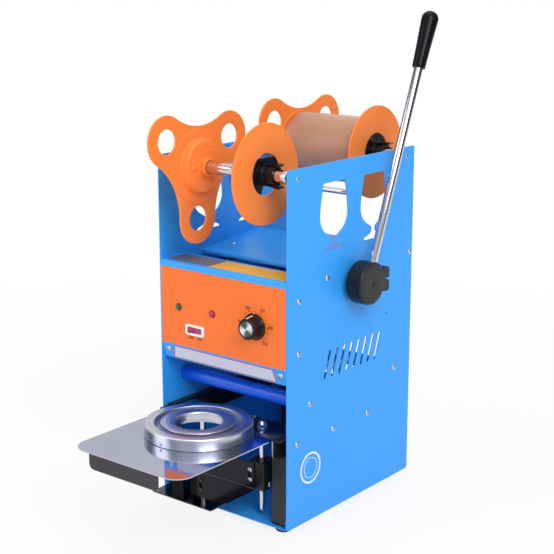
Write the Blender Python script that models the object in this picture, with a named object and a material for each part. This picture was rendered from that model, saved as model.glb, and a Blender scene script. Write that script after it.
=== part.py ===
"""A hand-operated cup sealing machine: a film sealer with a pull-out cup drawer and a side lever.

Units are metres and +Z is up. Every piece is drawn in the machine's own frame: x = 0 in the middle
of the body, y = 0 at the front edges of the side panels with +y to the back, and z = 0 at the bottom
edges of the side panels. The last step moves the whole machine so that its resting place is the origin.
"""

import math

import bmesh
import bpy
from mathutils import Matrix, Vector

# General sizes
SHEET = 0.0015
FIT = 0.0003
ROUND = 22
SMALL_ROUND = 18
BEND_RADIUS = 0.003
BEND_STEPS = 3

# Body
BODY_WIDTH = 0.2202
BODY_DEPTH = 0.2864
PANEL_HEIGHT = 0.480
PANEL_CORNER = 0.004
FLANGE = 0.015
BASE_FRONT_SETBACK = 0.001
REAR_HEIGHT = 0.334
REAR_SHELF_DEPTH = 0.028
INNER = BODY_WIDTH / 2 - SHEET
SPAN = INNER - FIT
LEVER_Y = BODY_DEPTH / 2
LEVER_Z = 0.314

# Wine-glass windows in the side panels
WINDOW_FRONT_Y = LEVER_Y - 0.0447
WINDOW_REAR_Y = LEVER_Y + 0.0453
GLASS_FOOT_Z = 0.364
GLASS_FOOT_HALF = 0.0235
GLASS_FOOT_RISE = 0.0035
GLASS_STEM_Z = 0.374
GLASS_STEM_HALF = 0.0045
GLASS_BOWL_Z = 0.411
GLASS_BOWL_HALF = 0.0305
GLASS_BOWL_DEPTH = 0.028
GLASS_RIM_Z = 0.454
GLASS_RIM_HALF = 0.0235
GLASS_STEPS = 7

# Slanted cooling slots in the side panels
VENT_COUNT = 8
VENT_PITCH = 0.0166
VENT_FIRST_Y = LEVER_Y - 0.063
VENT_LOW_Z = 0.1905
VENT_HIGH_Z = 0.2285
VENT_LEAN = 0.0133
VENT_WIDTH = 0.005
VENT_END_STEPS = 4

# Tie rod between the side panels
TIE_ROD_RADIUS = 0.004
TIE_ROD_Y = LEVER_Y + 0.0028
TIE_ROD_Z = 0.432

# Feet
FOOT_RADIUS = 0.012
FOOT_TAPER = 0.0015
FOOT_HEIGHT = 0.012
FOOT_INSET_X = 0.025
FOOT_INSET_Y = 0.025

# Front control panel
CONTROL_TOP_Z = 0.3375
CONTROL_FOLD_Z = 0.221
CONTROL_LOW_Z = 0.199
CONTROL_LOW_SETBACK = 0.005
CONTROL_HEM = 0.011
SHELF_DEPTH = 0.050
CONTROL_FLANGE = 0.034

# Sloping cover over the lever shaft
DECK_FRONT_Y = 0.085
DECK_FRONT_Z = 0.3365
DECK_REAR_Y = BODY_DEPTH - 0.0714
DECK_CREST_Y = DECK_REAR_Y - 0.020
DECK_CREST_Z = 0.3485
DECK_LIP = 0.015
DECK_FRONT_LIP = 0.005

# Knob, lamps and switch on the control panel
KNOB_X = 0.057
KNOB_Z = 0.272
KNOB_SKIRT_RADIUS = 0.0165
KNOB_GRIP_RADIUS = 0.0145
KNOB_CAP_RADIUS = 0.0105
KNOB_HEIGHT = 0.018
KNOB_SKIRT = 0.0025
KNOB_BEVEL = 0.0012
KNOB_STEM_RADIUS = 0.003
KNOB_STEM_DEPTH = 0.012
KNOB_HOLE_RADIUS = 0.0045
LAMP_Z = 0.276
GREEN_LAMP_X = -0.076
RED_LAMP_X = -0.016
LAMP_RADIUS = 0.005
LAMP_HEIGHT = 0.004
LAMP_STEM_RADIUS = 0.0035
LAMP_STEM_DEPTH = 0.012
SWITCH_X = -0.0465
SWITCH_Z = 0.248
SWITCH_BEZEL_WIDTH = 0.032
SWITCH_BEZEL_HEIGHT = 0.0145
SWITCH_BEZEL_THICKNESS = 0.0022
SWITCH_BODY_WIDTH = 0.028
SWITCH_BODY_HEIGHT = 0.0115
SWITCH_BODY_DEPTH = 0.014
SWITCH_WALL = 0.0015
ROCKER_PROUD = 0.0035
ROCKER_DIP = 0.0022
ROCKER_PIVOT_DEPTH = 0.004
ROCKER_TILT = math.radians(8)
ROCKER_RUNNING_GAP = 0.0015

# Film rollers
ROLLER_RADIUS = 0.010
ROLLER_END_GAP = 0.0007
ROLLER_JOURNAL_RADIUS = 0.004
ROLLER_Z = 0.166
FRONT_ROLLER_Y = 0.0455
REAR_ROLLER_Y = BODY_DEPTH - 0.0429

# Film reels
REEL_INSET = 0.020
REEL_Z = 0.468
REEL_SHAFT_RADIUS = 0.0085
REEL_JOURNAL_RADIUS = 0.006
REEL_JOURNAL = 0.011
REEL_BEARING_RADIUS = 0.011
REEL_BEARING_DEPTH = 0.006
REEL_BORE = REEL_SHAFT_RADIUS + FIT
REEL_THICKNESS = 0.003
FRONT_LOBE_X = -(INNER - 0.0531)
REAR_LOBE_X = -(INNER - 0.0316)
LOBE_DISTANCE = 0.0705
LOBE_RADIUS = 0.034
LOBE_WAIST = 0.0525
LOBE_HOLE_RADIUS = 0.0165
LOBE_ANGLE = math.radians(28)
LOBE_STEPS = 10
WAIST_STEPS = 6
LOBE_STEP_RADIUS = 0.050
LOBE_STEP_HEIGHT = 0.0012
LOBE_DISH_RADIUS = 0.037
LOBE_DISH_TAPER = 0.004
LOBE_DISH_HEIGHT = 0.011
LOBE_HUB_RADIUS = 0.0125
LOBE_HUB_HEIGHT = 0.020
DISC_FRONT_X = INNER - 0.0496
DISC_REAR_X = INNER - 0.0506
DISC_RADIUS = 0.0655
DISC_HOLE_RADIUS = 0.027
DISC_STEPS = 30
CLAMP_FRONT_TURN = math.radians(290)
CLAMP_REAR_TURN = math.radians(70)
CLAMP_NOTCH_HALF = math.radians(43)
CLAMP_NOTCH_RADIUS = 0.015
CLAMP_FLAT_TURN = math.radians(160)
CLAMP_FLAT_HALF = math.radians(35)
CLAMP_STEPS = 24
CLAMP_STEP_RADIUS = 0.0145
CLAMP_STEP = 0.003
CLAMP_CORE_RADIUS = 0.0118
CLAMP_CORE_LENGTH = 0.018
WING_HALF = 0.0045
WING_LOW = 0.010
WING_ROOT = 0.013
WING_TIP = 0.0165
WING_LENGTH = 0.026
WING_SLOPE = 0.004

# Film roll on the rear reel
CORE_WALL = 0.003
FILM_RADIUS = 0.0475
FILM_EDGE_GAP = 0.002

# Lever and its shaft
LEVER_LEAN = math.radians(21.8)
SHAFT_RADIUS = 0.008
SHAFT_LEFT_OVERHANG = 0.009
BUSH_RADIUS = 0.011
BUSH_FLANGE_RADIUS = 0.018
BUSH_FLANGE = 0.006
BUSH_NUT_RADIUS = 0.016
BUSH_NUT = 0.007
HUB_RADIUS = 0.029
HUB_OUTER_X = BODY_WIDTH / 2 + 0.0319
HUB_THICKNESS = 0.023
HUB_FACE = 0.004
HUB_NECK_RADIUS = 0.015
HUB_STEPS = 28
EAR_REACH = 0.041
EAR_HALF = 0.0165
EAR_SLIT = 0.0025
LEVER_ROD_X = HUB_OUTER_X - 0.008
LEVER_ROD_RADIUS = 0.006
LEVER_ROD_START = 0.013
GRIP_START = 0.297
GRIP_END = 0.377
GRIP_LOW_RADIUS = 0.009
GRIP_HIGH_RADIUS = 0.0116
GRIP_BORE_DEPTH = 0.048
GRIP_LIP = 0.001
GRIP_DOME_STEPS = 5

# Cam on the lever shaft and the sealing head that it presses down
HEAD_TRAVEL = 0.026
LEVER_TURN = math.radians(92)
CAM_THICKNESS = 0.016
CAM_PITCH_REST = 0.026
CAM_STEP = math.radians(9)
CAM_FALL = math.radians(70)
CAM_RELIEF = 0.001
RAM_RADIUS = 0.008
RAM_FOOT_RADIUS = 0.018
RAM_FOOT = 0.008
RAM_DOME_STEPS = 5
COLUMN_X = INNER - 0.0236
COLUMN_RADIUS = 0.006
CARRIER_HALF_X = COLUMN_X + 0.013
CARRIER_HALF_Y = 0.024
CARRIER_DISC_RADIUS = COLUMN_X - COLUMN_RADIUS - 0.010
CARRIER_LOW_Z = 0.1923
CARRIER_THICKNESS = 0.010
CARRIER_STEPS = 12
COLUMN_LOW_Z = 0.158
COLUMN_TOP_PROUD = 0.004
CROSSBAR_LOW_Z = 0.232
CROSSBAR_THICKNESS = 0.006
CROSSBAR_HALF_Y = 0.028
CROSSBAR_FLANGE = 0.022
RAM_GUIDE_GAP = 0.0006

# Cup drawer
TRAY_TOP_Z = 0.1283
TRAY_FRONT_Y = -0.188
TRAY_REAR_Y = 0.046
TRAY_HALF_X = INNER - 0.0141
TRAY_FRONT_CORNER = 0.024
TRAY_REAR_CORNER = 0.006
TRAY_CORNER_STEPS = 4
TRAY_EAR_FRONT_Y = -0.010
TRAY_EAR_LOW_Z = 0.104
LIP_TOP_HALF = TRAY_HALF_X - 0.0345
LIP_LOW_HALF = LIP_TOP_HALF - 0.007
LIP_LOW_Z = 0.1064
RAIL_CENTRE_Z = 0.1157
RAIL_HALF_HEIGHT = 0.0142
RAIL_LIP = 0.0112
RAIL_FRONT_Y = 0.008
RAIL_REAR_Y = BODY_DEPTH - 0.0244
SLIDE_HALF_HEIGHT = RAIL_HALF_HEIGHT - SHEET - FIT
SLIDE_WIDTH = SPAN - SHEET - FIT - (TRAY_HALF_X + FIT)

# Cup mould in the drawer
MOULD_Y = -0.0477
MOULD_RADIUS = COLUMN_X - COLUMN_RADIUS - 0.007
MOULD_HEIGHT = 0.0157
MOULD_CHAMFER = 0.0012
MOULD_INNER_RADIUS = MOULD_RADIUS - 0.0143
MOULD_GROOVE_DEPTH = 0.0075
INSERT_RADIUS = MOULD_INNER_RADIUS - 0.0077
MOULD_BORE_RADIUS = INSERT_RADIUS - 0.0035
TRAY_HOLE_RADIUS = MOULD_BORE_RADIUS - 0.004
INSERT_RELIEF_RADIUS = TRAY_HOLE_RADIUS - 0.002
INSERT_HOLE_RADIUS = INSERT_RADIUS - 0.018
INSERT_MOUTH_RADIUS = INSERT_HOLE_RADIUS + 0.0015
INSERT_MOUTH_DEPTH = 0.0015
INSERT_WALL = 0.010
MOULD_STEPS = 34
MOULD_BOTTOM_Z = TRAY_TOP_Z + FIT
MOULD_TOP_Z = MOULD_BOTTOM_Z + MOULD_HEIGHT

# Heating plate and film cutter under the head
HEATER_RADIUS = INSERT_RADIUS - 0.0015
HEATER_CLOSED_GAP = 0.0005
HEATER_THICKNESS = 0.014
HEATER_STEM_RADIUS = 0.020
CUTTER_INNER_RADIUS = INSERT_RADIUS + 0.0018
CUTTER_OUTER_RADIUS = MOULD_INNER_RADIUS - 0.0022
CUTTER_EDGE_REACH = 0.002
CUTTER_BEVEL = 0.003
CUTTER_FLANGE_RADIUS = MOULD_RADIUS - 0.005
CUTTER_FLANGE = 0.005

# Cup rest under the drawer
REST_ROD_X = TRAY_HALF_X - 0.0415
REST_ROD_Y = 0.019
REST_ROD_RADIUS = 0.004
REST_ROD_LOW_Z = 0.010
REST_BLOCK_HALF = 0.0138
REST_BLOCK_LOW_Z = 0.043
REST_BLOCK_HIGH_Z = 0.083
REST_BLOCK_BEVEL = 0.0015
REST_PLATE_FRONT_Y = -0.084
REST_PLATE_HALF_X = REST_ROD_X - 0.0015
REST_PLATE_LOW_Z = 0.0425
REST_PLATE_HIGH_Z = 0.081
REST_SLOT_X = REST_PLATE_HALF_X - 0.007
REST_SLOT_HALF = 0.0028
REST_SLOT_LOW_Z = 0.052
REST_SLOT_HIGH_Z = 0.074

# Opening in the rear panel, behind the rear film roller
REAR_OPENING_HALF_X = BODY_WIDTH / 2 - 0.0301
REAR_OPENING_LOW_Z = 0.118
REAR_OPENING_HIGH_Z = 0.204
REAR_OPENING_CORNER = 0.006

# Cable gland in the rear panel
GLAND_X = -(BODY_WIDTH / 2 - 0.0401)
GLAND_Z = 0.040
GLAND_STEM_RADIUS = 0.006
GLAND_FLANGE_RADIUS = 0.0095
GLAND_FLANGE = 0.003
GLAND_TAIL_RADIUS = 0.0055
GLAND_LENGTH = 0.018
GLAND_BORE_RADIUS = 0.0035
GLAND_INSIDE = 0.004

AXES = {"X": Vector((1, 0, 0)), "Y": Vector((0, 1, 0)), "Z": Vector((0, 0, 1))}


def clear_scene():
    """Removes what the start-up file holds."""
    for item in list(bpy.data.objects):
        bpy.data.objects.remove(item, do_unlink=True)


def finish(name, colour, roughness, metallic):
    """A plain material with the piece's colour and surface."""
    material = bpy.data.materials.new(name)
    material.use_nodes = True
    shader = material.node_tree.nodes["Principled BSDF"]
    shader.inputs["Base Color"].default_value = (*colour, 1)
    shader.inputs["Roughness"].default_value = roughness
    shader.inputs["Metallic"].default_value = metallic
    return material


def pivot(name, parent, place):
    """An empty on a joint's axis, which carries the pieces that move together."""
    empty = bpy.data.objects.new(name, None)
    empty.parent = parent
    empty.location = place
    bpy.context.collection.objects.link(empty)
    return empty


def link_mesh(name, bm, carrier):
    """Makes a shape drawn in the machine's frame an object that its carrier holds in place."""
    bmesh.ops.recalc_face_normals(bm, faces=bm.faces)
    mesh = bpy.data.meshes.new(name)
    bm.to_mesh(mesh)
    bm.free()
    item = bpy.data.objects.new(name, mesh)
    item.parent = carrier
    item.location = -carrier.location if carrier.parent else Vector((0, 0, 0))
    bpy.context.collection.objects.link(item)
    return item


def piece(name, bm, material, carrier, joined=(), cut=()):
    """A named piece, with further shapes joined to it and then others cut out of it."""
    item = link_mesh(name, bm, carrier)
    item.data.materials.append(material)
    for operation, shapes in (("UNION", joined), ("DIFFERENCE", cut)):
        for number, shape in enumerate(shapes):
            tool = link_mesh(f"{name}_{operation.lower()}_{number}", shape, carrier)
            tool.hide_render = True
            tool.display_type = "WIRE"
            step = item.modifiers.new(f"{operation.lower()} {number}", "BOOLEAN")
            step.operation = operation
            step.object = tool
    item.data.shade_smooth()
    item.data.set_sharp_from_angle(angle=math.radians(35))
    return item


def on_plane(axis, level, point):
    """A point of a flat outline, placed in space at a level along the outline's axis."""
    across, up = point
    if axis == "X":
        return Vector((level, across, up))
    if axis == "Y":
        return Vector((across, level, up))
    return Vector((across, up, level))


def extruded(axis, low, high, outline, holes=()):
    """A flat outline with holes, given thickness from low to high along an axis."""
    bm = bmesh.new()
    edges = []
    for loop in [outline, *holes]:
        ring = [bm.verts.new(on_plane(axis, low, point)) for point in loop]
        edges += [bm.edges.new((ring[number - 1], ring[number])) for number in range(len(ring))]
    bmesh.ops.triangle_fill(bm, use_beauty=True, edges=edges)
    grown = bmesh.ops.extrude_face_region(bm, geom=list(bm.faces))
    moved = [item for item in grown["geom"] if isinstance(item, bmesh.types.BMVert)]
    bmesh.ops.translate(bm, verts=moved, vec=AXES[axis] * (high - low))
    return bm


def turned(axis, centre, profile, steps=ROUND):
    """A profile of (radius, place along the axis), turned round an axis through centre."""
    along = AXES[axis]
    out = AXES["Z"] if axis != "Z" else AXES["X"]
    origin = Vector(centre) - along * Vector(centre).dot(along)
    bm = bmesh.new()
    verts = [bm.verts.new(origin + out * radius + along * place) for radius, place in profile]
    edges = [bm.edges.new(pair) for pair in zip(verts, verts[1:])]
    if profile[0][0] > 0:
        edges.append(bm.edges.new((verts[-1], verts[0])))
    geom = verts + edges
    bmesh.ops.spin(bm, geom=geom, cent=origin, axis=along, angle=math.tau, steps=steps, use_merge=True)
    bmesh.ops.remove_doubles(bm, verts=bm.verts, dist=1e-6)
    return bm


def cylinder(axis, centre, radius, low, high, steps=ROUND):
    """A plain round bar along an axis."""
    return turned(axis, centre, [(0, low), (radius, low), (radius, high), (0, high)], steps)


def block(low, high, bevel=0.0):
    """A box between two corners, with softened edges if asked."""
    bm = bmesh.new()
    bmesh.ops.create_cube(bm, size=1)
    size = Vector(high) - Vector(low)
    bmesh.ops.scale(bm, vec=size, verts=bm.verts)
    bmesh.ops.translate(bm, vec=(Vector(high) + Vector(low)) / 2, verts=bm.verts)
    if bevel:
        bmesh.ops.bevel(bm, geom=list(bm.edges), offset=bevel, segments=2, profile=0.5, affect="EDGES")
    return bm


def circle(centre, radius, steps=ROUND):
    """Points of a round hole or outline."""
    turns = [math.tau * number / steps for number in range(steps)]
    return [(centre[0] + radius * math.cos(turn), centre[1] + radius * math.sin(turn)) for turn in turns]


def arc(centre, radius, start, end, steps):
    """Points of an arc, both ends included."""
    turns = [start + (end - start) * number / steps for number in range(steps + 1)]
    return [(centre[0] + radius * math.cos(turn), centre[1] + radius * math.sin(turn)) for turn in turns]


def rectangle(low, high):
    """Corners of a rectangle."""
    return [low, (high[0], low[1]), high, (low[0], high[1])]


def rounded(points, radii, steps=BEND_STEPS):
    """A closed outline whose corners are rounded by the radius given for each."""
    outline = []
    count = len(points)
    for number in range(count):
        before, corner, after = (Vector(points[(number + shift) % count]) for shift in (-1, 0, 1))
        radius = radii[number]
        if not radius:
            outline.append(tuple(corner))
            continue
        inward = (before - corner).normalized()
        outward = (after - corner).normalized()
        half = inward.angle(outward) / 2
        centre = corner + (inward + outward).normalized() * (radius / math.sin(half))
        first = corner + inward * (radius / math.tan(half)) - centre
        last = corner + outward * (radius / math.tan(half)) - centre
        sweep = first.angle_signed(last)
        for step in range(steps + 1):
            turn = -sweep * step / steps
            spoke = Matrix.Rotation(turn, 2) @ first
            outline.append(tuple(centre + spoke))
    return outline


def folded(path, thickness, bend=BEND_RADIUS):
    """The section of a sheet folded along a path of points, with its thickness on the path's right."""
    points = [Vector(point) for point in path]
    inner = []
    for number, point in enumerate(points):
        sides = []
        if number:
            sides.append((point - points[number - 1]).normalized())
        if number < len(points) - 1:
            sides.append((points[number + 1] - point).normalized())
        normals = [Vector((side.y, -side.x)) for side in sides]
        middle = sum(normals, Vector((0, 0))).normalized()
        inner.append(point + middle * (thickness / middle.dot(normals[0])))
    ends = len(points) - 1
    turns = []
    for number in range(1, ends):
        before = points[number] - points[number - 1]
        after = points[number + 1] - points[number]
        turns.append(before.cross(after) < 0)
    inside = max(bend - thickness, thickness / 2)
    outer_radii = [0, *[bend if right else inside for right in turns], 0]
    inner_radii = [0, *[inside if right else bend for right in turns], 0]
    outline = [*points, *reversed(inner)]
    return rounded([tuple(point) for point in outline], [*outer_radii, *reversed(inner_radii)])


def mirrored(side, low, high):
    """The x range of something that lies between two distances from the middle, on one side."""
    return (low, high) if side > 0 else (-high, -low)


def glass_window(y):
    """Outline of a wine-glass window about a vertical centre line."""
    stem_turn = math.acos(GLASS_STEM_HALF / GLASS_BOWL_HALF)
    half = [
        (GLASS_FOOT_HALF, GLASS_FOOT_Z),
        (GLASS_FOOT_HALF, GLASS_FOOT_Z + GLASS_FOOT_RISE),
        (GLASS_STEM_HALF, GLASS_STEM_Z),
    ]
    for number in range(GLASS_STEPS + 1):
        turn = stem_turn * (1 - number / GLASS_STEPS)
        half.append((GLASS_BOWL_HALF * math.cos(turn), GLASS_BOWL_Z - GLASS_BOWL_DEPTH * math.sin(turn)))
    shoulder = (GLASS_BOWL_Z + GLASS_RIM_Z) / 2
    half.append(((GLASS_BOWL_HALF * 2 + GLASS_RIM_HALF) / 3, shoulder))
    half.append((GLASS_RIM_HALF, GLASS_RIM_Z))
    right = [(y + across, up) for across, up in half]
    left = [(y - across, up) for across, up in reversed(half)]
    return right + left


def vent_slot(y):
    """Outline of one slanted slot with round ends."""
    radius = VENT_WIDTH / 2
    low = Vector((y, VENT_LOW_Z))
    high = Vector((y + VENT_LEAN, VENT_HIGH_Z))
    lean = math.atan2(high.y - low.y, high.x - low.x)
    along = (high - low).normalized() * radius
    top = arc(high - along, radius, lean - math.pi / 2, lean + math.pi / 2, VENT_END_STEPS)
    bottom = arc(low + along, radius, lean + math.pi / 2, lean + 3 * math.pi / 2, VENT_END_STEPS)
    return top + bottom


def build_side_panel(name, side, material, carrier):
    """A flat side panel with two windows, a row of slots and the hole for the lever shaft's bush."""
    corners = rectangle((0, 0), (BODY_DEPTH, PANEL_HEIGHT))
    outline = rounded(corners, [PANEL_CORNER] * 4)
    holes = [glass_window(WINDOW_FRONT_Y), glass_window(WINDOW_REAR_Y)]
    holes += [vent_slot(VENT_FIRST_Y + VENT_PITCH * number) for number in range(VENT_COUNT)]
    holes.append(circle((LEVER_Y, LEVER_Z), BUSH_RADIUS + FIT))
    low, high = mirrored(side, INNER, INNER + SHEET)
    return piece(name, extruded("X", low, high, outline, holes), material, carrier)


def build_shell(blue, chrome, rubber, black, carrier):
    """The sheet-metal body: side panels, base, back, front panel, deck, tie rod, feet and gland."""
    for name, side in (("left_side_panel", -1), ("right_side_panel", 1)):
        build_side_panel(name, side, blue, carrier)

    rear_inner_y = BODY_DEPTH - SHEET
    flange_y = BODY_DEPTH - FLANGE
    base_path = [(-SPAN, FLANGE), (-SPAN, 0), (SPAN, 0), (SPAN, FLANGE)]
    base = extruded("Y", BASE_FRONT_SETBACK, flange_y - FIT, list(reversed(folded(base_path[::-1], SHEET))))
    tail = block((-SPAN, flange_y - FLANGE, 0), (SPAN, rear_inner_y - FIT, SHEET))
    piece("base_pan", base, blue, carrier, joined=[tail])

    rear_path = [(-SPAN, flange_y), (-SPAN, BODY_DEPTH), (SPAN, BODY_DEPTH), (SPAN, flange_y)]
    rear = extruded("Z", SHEET + FIT, REAR_HEIGHT, folded(rear_path, SHEET))
    shelf_low = (-SPAN, BODY_DEPTH - REAR_SHELF_DEPTH, REAR_HEIGHT - SHEET)
    shelf = block(shelf_low, (SPAN, rear_inner_y + SHEET / 2, REAR_HEIGHT))
    gland_place = (GLAND_X, 0, GLAND_Z)
    gland_hole = cylinder("Y", gland_place, GLAND_STEM_RADIUS + FIT, flange_y, BODY_DEPTH + FLANGE)
    opening_low = (-REAR_OPENING_HALF_X, REAR_OPENING_LOW_Z)
    opening_high = (REAR_OPENING_HALF_X, REAR_OPENING_HIGH_Z)
    opening_outline = rounded(rectangle(opening_low, opening_high), [REAR_OPENING_CORNER] * 4)
    opening = extruded("Y", rear_inner_y - SHEET, BODY_DEPTH + SHEET, opening_outline)
    piece("rear_panel", rear, blue, carrier, joined=[shelf], cut=[gland_hole, opening])

    gland_profile = [
        (GLAND_BORE_RADIUS, rear_inner_y - GLAND_INSIDE),
        (GLAND_STEM_RADIUS, rear_inner_y - GLAND_INSIDE),
        (GLAND_STEM_RADIUS, BODY_DEPTH + FIT),
        (GLAND_FLANGE_RADIUS, BODY_DEPTH + FIT),
        (GLAND_FLANGE_RADIUS, BODY_DEPTH + FIT + GLAND_FLANGE),
        (GLAND_STEM_RADIUS, BODY_DEPTH + FIT + 2 * GLAND_FLANGE),
        (GLAND_TAIL_RADIUS, BODY_DEPTH + GLAND_LENGTH),
        (GLAND_BORE_RADIUS, BODY_DEPTH + GLAND_LENGTH),
    ]
    piece("cable_gland", turned("Y", gland_place, gland_profile, SMALL_ROUND), rubber, carrier)

    control_path = [
        (SHELF_DEPTH, CONTROL_TOP_Z),
        (0, CONTROL_TOP_Z),
        (0, CONTROL_FOLD_Z),
        (CONTROL_LOW_SETBACK, CONTROL_LOW_Z),
        (CONTROL_LOW_SETBACK + CONTROL_HEM, CONTROL_LOW_Z),
    ]
    control = extruded("X", -SPAN, SPAN, folded(list(reversed(control_path)), SHEET))
    ears = []
    for side in (-1, 1):
        low, high = mirrored(side, SPAN - SHEET, SPAN)
        ear_low = (low, SHEET / 2, CONTROL_FOLD_Z + SHEET)
        ears.append(block(ear_low, (high, CONTROL_FLANGE, CONTROL_TOP_Z - SHEET / 2)))
    holes = [cylinder("Y", (KNOB_X, 0, KNOB_Z), KNOB_HOLE_RADIUS, -SHEET, 2 * SHEET, SMALL_ROUND)]
    for x in (GREEN_LAMP_X, RED_LAMP_X):
        holes.append(cylinder("Y", (x, 0, LAMP_Z), LAMP_STEM_RADIUS + FIT, -SHEET, 2 * SHEET, SMALL_ROUND))
    half_x = SWITCH_BODY_WIDTH / 2 + FIT
    half_z = SWITCH_BODY_HEIGHT / 2 + FIT
    switch_low = (SWITCH_X - half_x, -SHEET, SWITCH_Z - half_z)
    holes.append(block(switch_low, (SWITCH_X + half_x, 2 * SHEET, SWITCH_Z + half_z)))
    piece("control_panel", control, blue, carrier, joined=ears, cut=holes)

    deck_path = [
        (DECK_FRONT_Y, DECK_FRONT_Z - DECK_FRONT_LIP),
        (DECK_FRONT_Y, DECK_FRONT_Z),
        (DECK_CREST_Y, DECK_CREST_Z),
        (DECK_REAR_Y, DECK_CREST_Z),
        (DECK_REAR_Y, DECK_CREST_Z - DECK_LIP),
    ]
    piece("deck_cover", extruded("X", -SPAN, SPAN, folded(deck_path, SHEET)), blue, carrier)

    tie = cylinder("X", (0, TIE_ROD_Y, TIE_ROD_Z), TIE_ROD_RADIUS, -SPAN, SPAN, SMALL_ROUND)
    piece("tie_rod", tie, chrome, carrier)

    foot_profile = [
        (0, -FIT),
        (FOOT_RADIUS - FOOT_TAPER, -FIT),
        (FOOT_RADIUS, -FIT - FOOT_TAPER),
        (FOOT_RADIUS - FOOT_TAPER, -FOOT_HEIGHT),
        (0, -FOOT_HEIGHT),
    ]
    foot_x = BODY_WIDTH / 2 - FOOT_INSET_X
    for end, y in (("front", FOOT_INSET_Y), ("rear", BODY_DEPTH - FOOT_INSET_Y)):
        for hand, side in (("left", -1), ("right", 1)):
            foot = turned("Z", (side * foot_x, y, 0), foot_profile, SMALL_ROUND)
            piece(f"foot_{end}_{hand}", foot, black, carrier)


def build_controls(black, white, red, green, carrier, root):
    """The lamps and the switch housing on the front, and the knob and rocker that move there."""
    lamp_profile = [
        (0, LAMP_STEM_DEPTH),
        (LAMP_STEM_RADIUS, LAMP_STEM_DEPTH),
        (LAMP_STEM_RADIUS, -FIT),
        (LAMP_RADIUS, -FIT),
        (LAMP_RADIUS, -LAMP_HEIGHT / 3),
        (LAMP_RADIUS * 0.7, -LAMP_HEIGHT * 0.8),
        (0, -LAMP_HEIGHT),
    ]
    for name, x, material in (("green_lamp", GREEN_LAMP_X, green), ("red_lamp", RED_LAMP_X, red)):
        piece(name, turned("Y", (x, 0, LAMP_Z), lamp_profile, SMALL_ROUND), material, carrier)

    def frame(width, height, front, back):
        """A rectangular ring round the rocker."""
        outer = rectangle(
            (SWITCH_X - width / 2, SWITCH_Z - height / 2), (SWITCH_X + width / 2, SWITCH_Z + height / 2)
        )
        half_x = SWITCH_BODY_WIDTH / 2 - SWITCH_WALL
        half_z = SWITCH_BODY_HEIGHT / 2 - SWITCH_WALL
        inner = rectangle((SWITCH_X - half_x, SWITCH_Z - half_z), (SWITCH_X + half_x, SWITCH_Z + half_z))
        return extruded("Y", front, back, outer, [inner])

    bezel_front = -FIT - SWITCH_BEZEL_THICKNESS
    bezel = frame(SWITCH_BEZEL_WIDTH, SWITCH_BEZEL_HEIGHT, bezel_front, -FIT)
    sleeve = frame(SWITCH_BODY_WIDTH, SWITCH_BODY_HEIGHT, bezel_front / 2, SWITCH_BODY_DEPTH)
    piece("switch_housing", bezel, white, carrier, joined=[sleeve])

    rocker_pivot = pivot("power_rocker_pivot", root, (SWITCH_X, ROCKER_PIVOT_DEPTH, SWITCH_Z))
    half = SWITCH_BODY_WIDTH / 2 - SWITCH_WALL - ROCKER_RUNNING_GAP
    flat = [
        (-half, -ROCKER_PIVOT_DEPTH - ROCKER_PROUD),
        (0, -ROCKER_PIVOT_DEPTH - ROCKER_PROUD + ROCKER_DIP),
        (half, -ROCKER_PIVOT_DEPTH - ROCKER_PROUD),
        (half, -ROCKER_PIVOT_DEPTH / 2),
        (half / 2, ROCKER_PIVOT_DEPTH / 2),
        (-half / 2, ROCKER_PIVOT_DEPTH / 2),
        (-half, -ROCKER_PIVOT_DEPTH / 2),
    ]
    tilt = Matrix.Rotation(ROCKER_TILT, 2)
    tilted = [tilt @ Vector(point) for point in flat]
    outline = [(SWITCH_X + point.x, ROCKER_PIVOT_DEPTH + point.y) for point in tilted]
    reach_z = SWITCH_BODY_HEIGHT / 2 - SWITCH_WALL - FIT
    rocker = extruded("Z", SWITCH_Z - reach_z, SWITCH_Z + reach_z, outline)
    piece("power_rocker", rocker, red, rocker_pivot)

    knob_pivot = pivot("temperature_knob_pivot", root, (KNOB_X, 0, KNOB_Z))
    skirt = -FIT - KNOB_SKIRT
    knob_profile = [
        (0, KNOB_STEM_DEPTH),
        (KNOB_STEM_RADIUS, KNOB_STEM_DEPTH),
        (KNOB_STEM_RADIUS, -FIT),
        (KNOB_SKIRT_RADIUS, -FIT),
        (KNOB_SKIRT_RADIUS, skirt),
        (KNOB_GRIP_RADIUS, skirt - KNOB_BEVEL),
        (KNOB_GRIP_RADIUS - KNOB_BEVEL, -KNOB_HEIGHT + KNOB_BEVEL),
        (KNOB_GRIP_RADIUS - 2 * KNOB_BEVEL, -KNOB_HEIGHT),
        (KNOB_CAP_RADIUS, -KNOB_HEIGHT),
        (0, -KNOB_HEIGHT),
    ]
    knob = turned("Y", (KNOB_X, 0, KNOB_Z), knob_profile, ROUND)
    piece("temperature_knob", knob, black, knob_pivot)


def build_film_rollers(blue_plastic, root):
    """The two rollers that lead the film under the head."""
    for end, y in (("front", FRONT_ROLLER_Y), ("rear", REAR_ROLLER_Y)):
        carrier = pivot(f"{end}_roller_axis", root, (0, y, ROLLER_Z))
        reach = SPAN - ROLLER_END_GAP
        profile = [
            (0, -SPAN),
            (ROLLER_JOURNAL_RADIUS, -SPAN),
            (ROLLER_JOURNAL_RADIUS, -reach),
            (ROLLER_RADIUS, -reach),
            (ROLLER_RADIUS, reach),
            (ROLLER_JOURNAL_RADIUS, reach),
            (ROLLER_JOURNAL_RADIUS, SPAN),
            (0, SPAN),
        ]
        piece(f"{end}_roller", turned("X", (0, y, ROLLER_Z), profile, SMALL_ROUND), blue_plastic, carrier)


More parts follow.
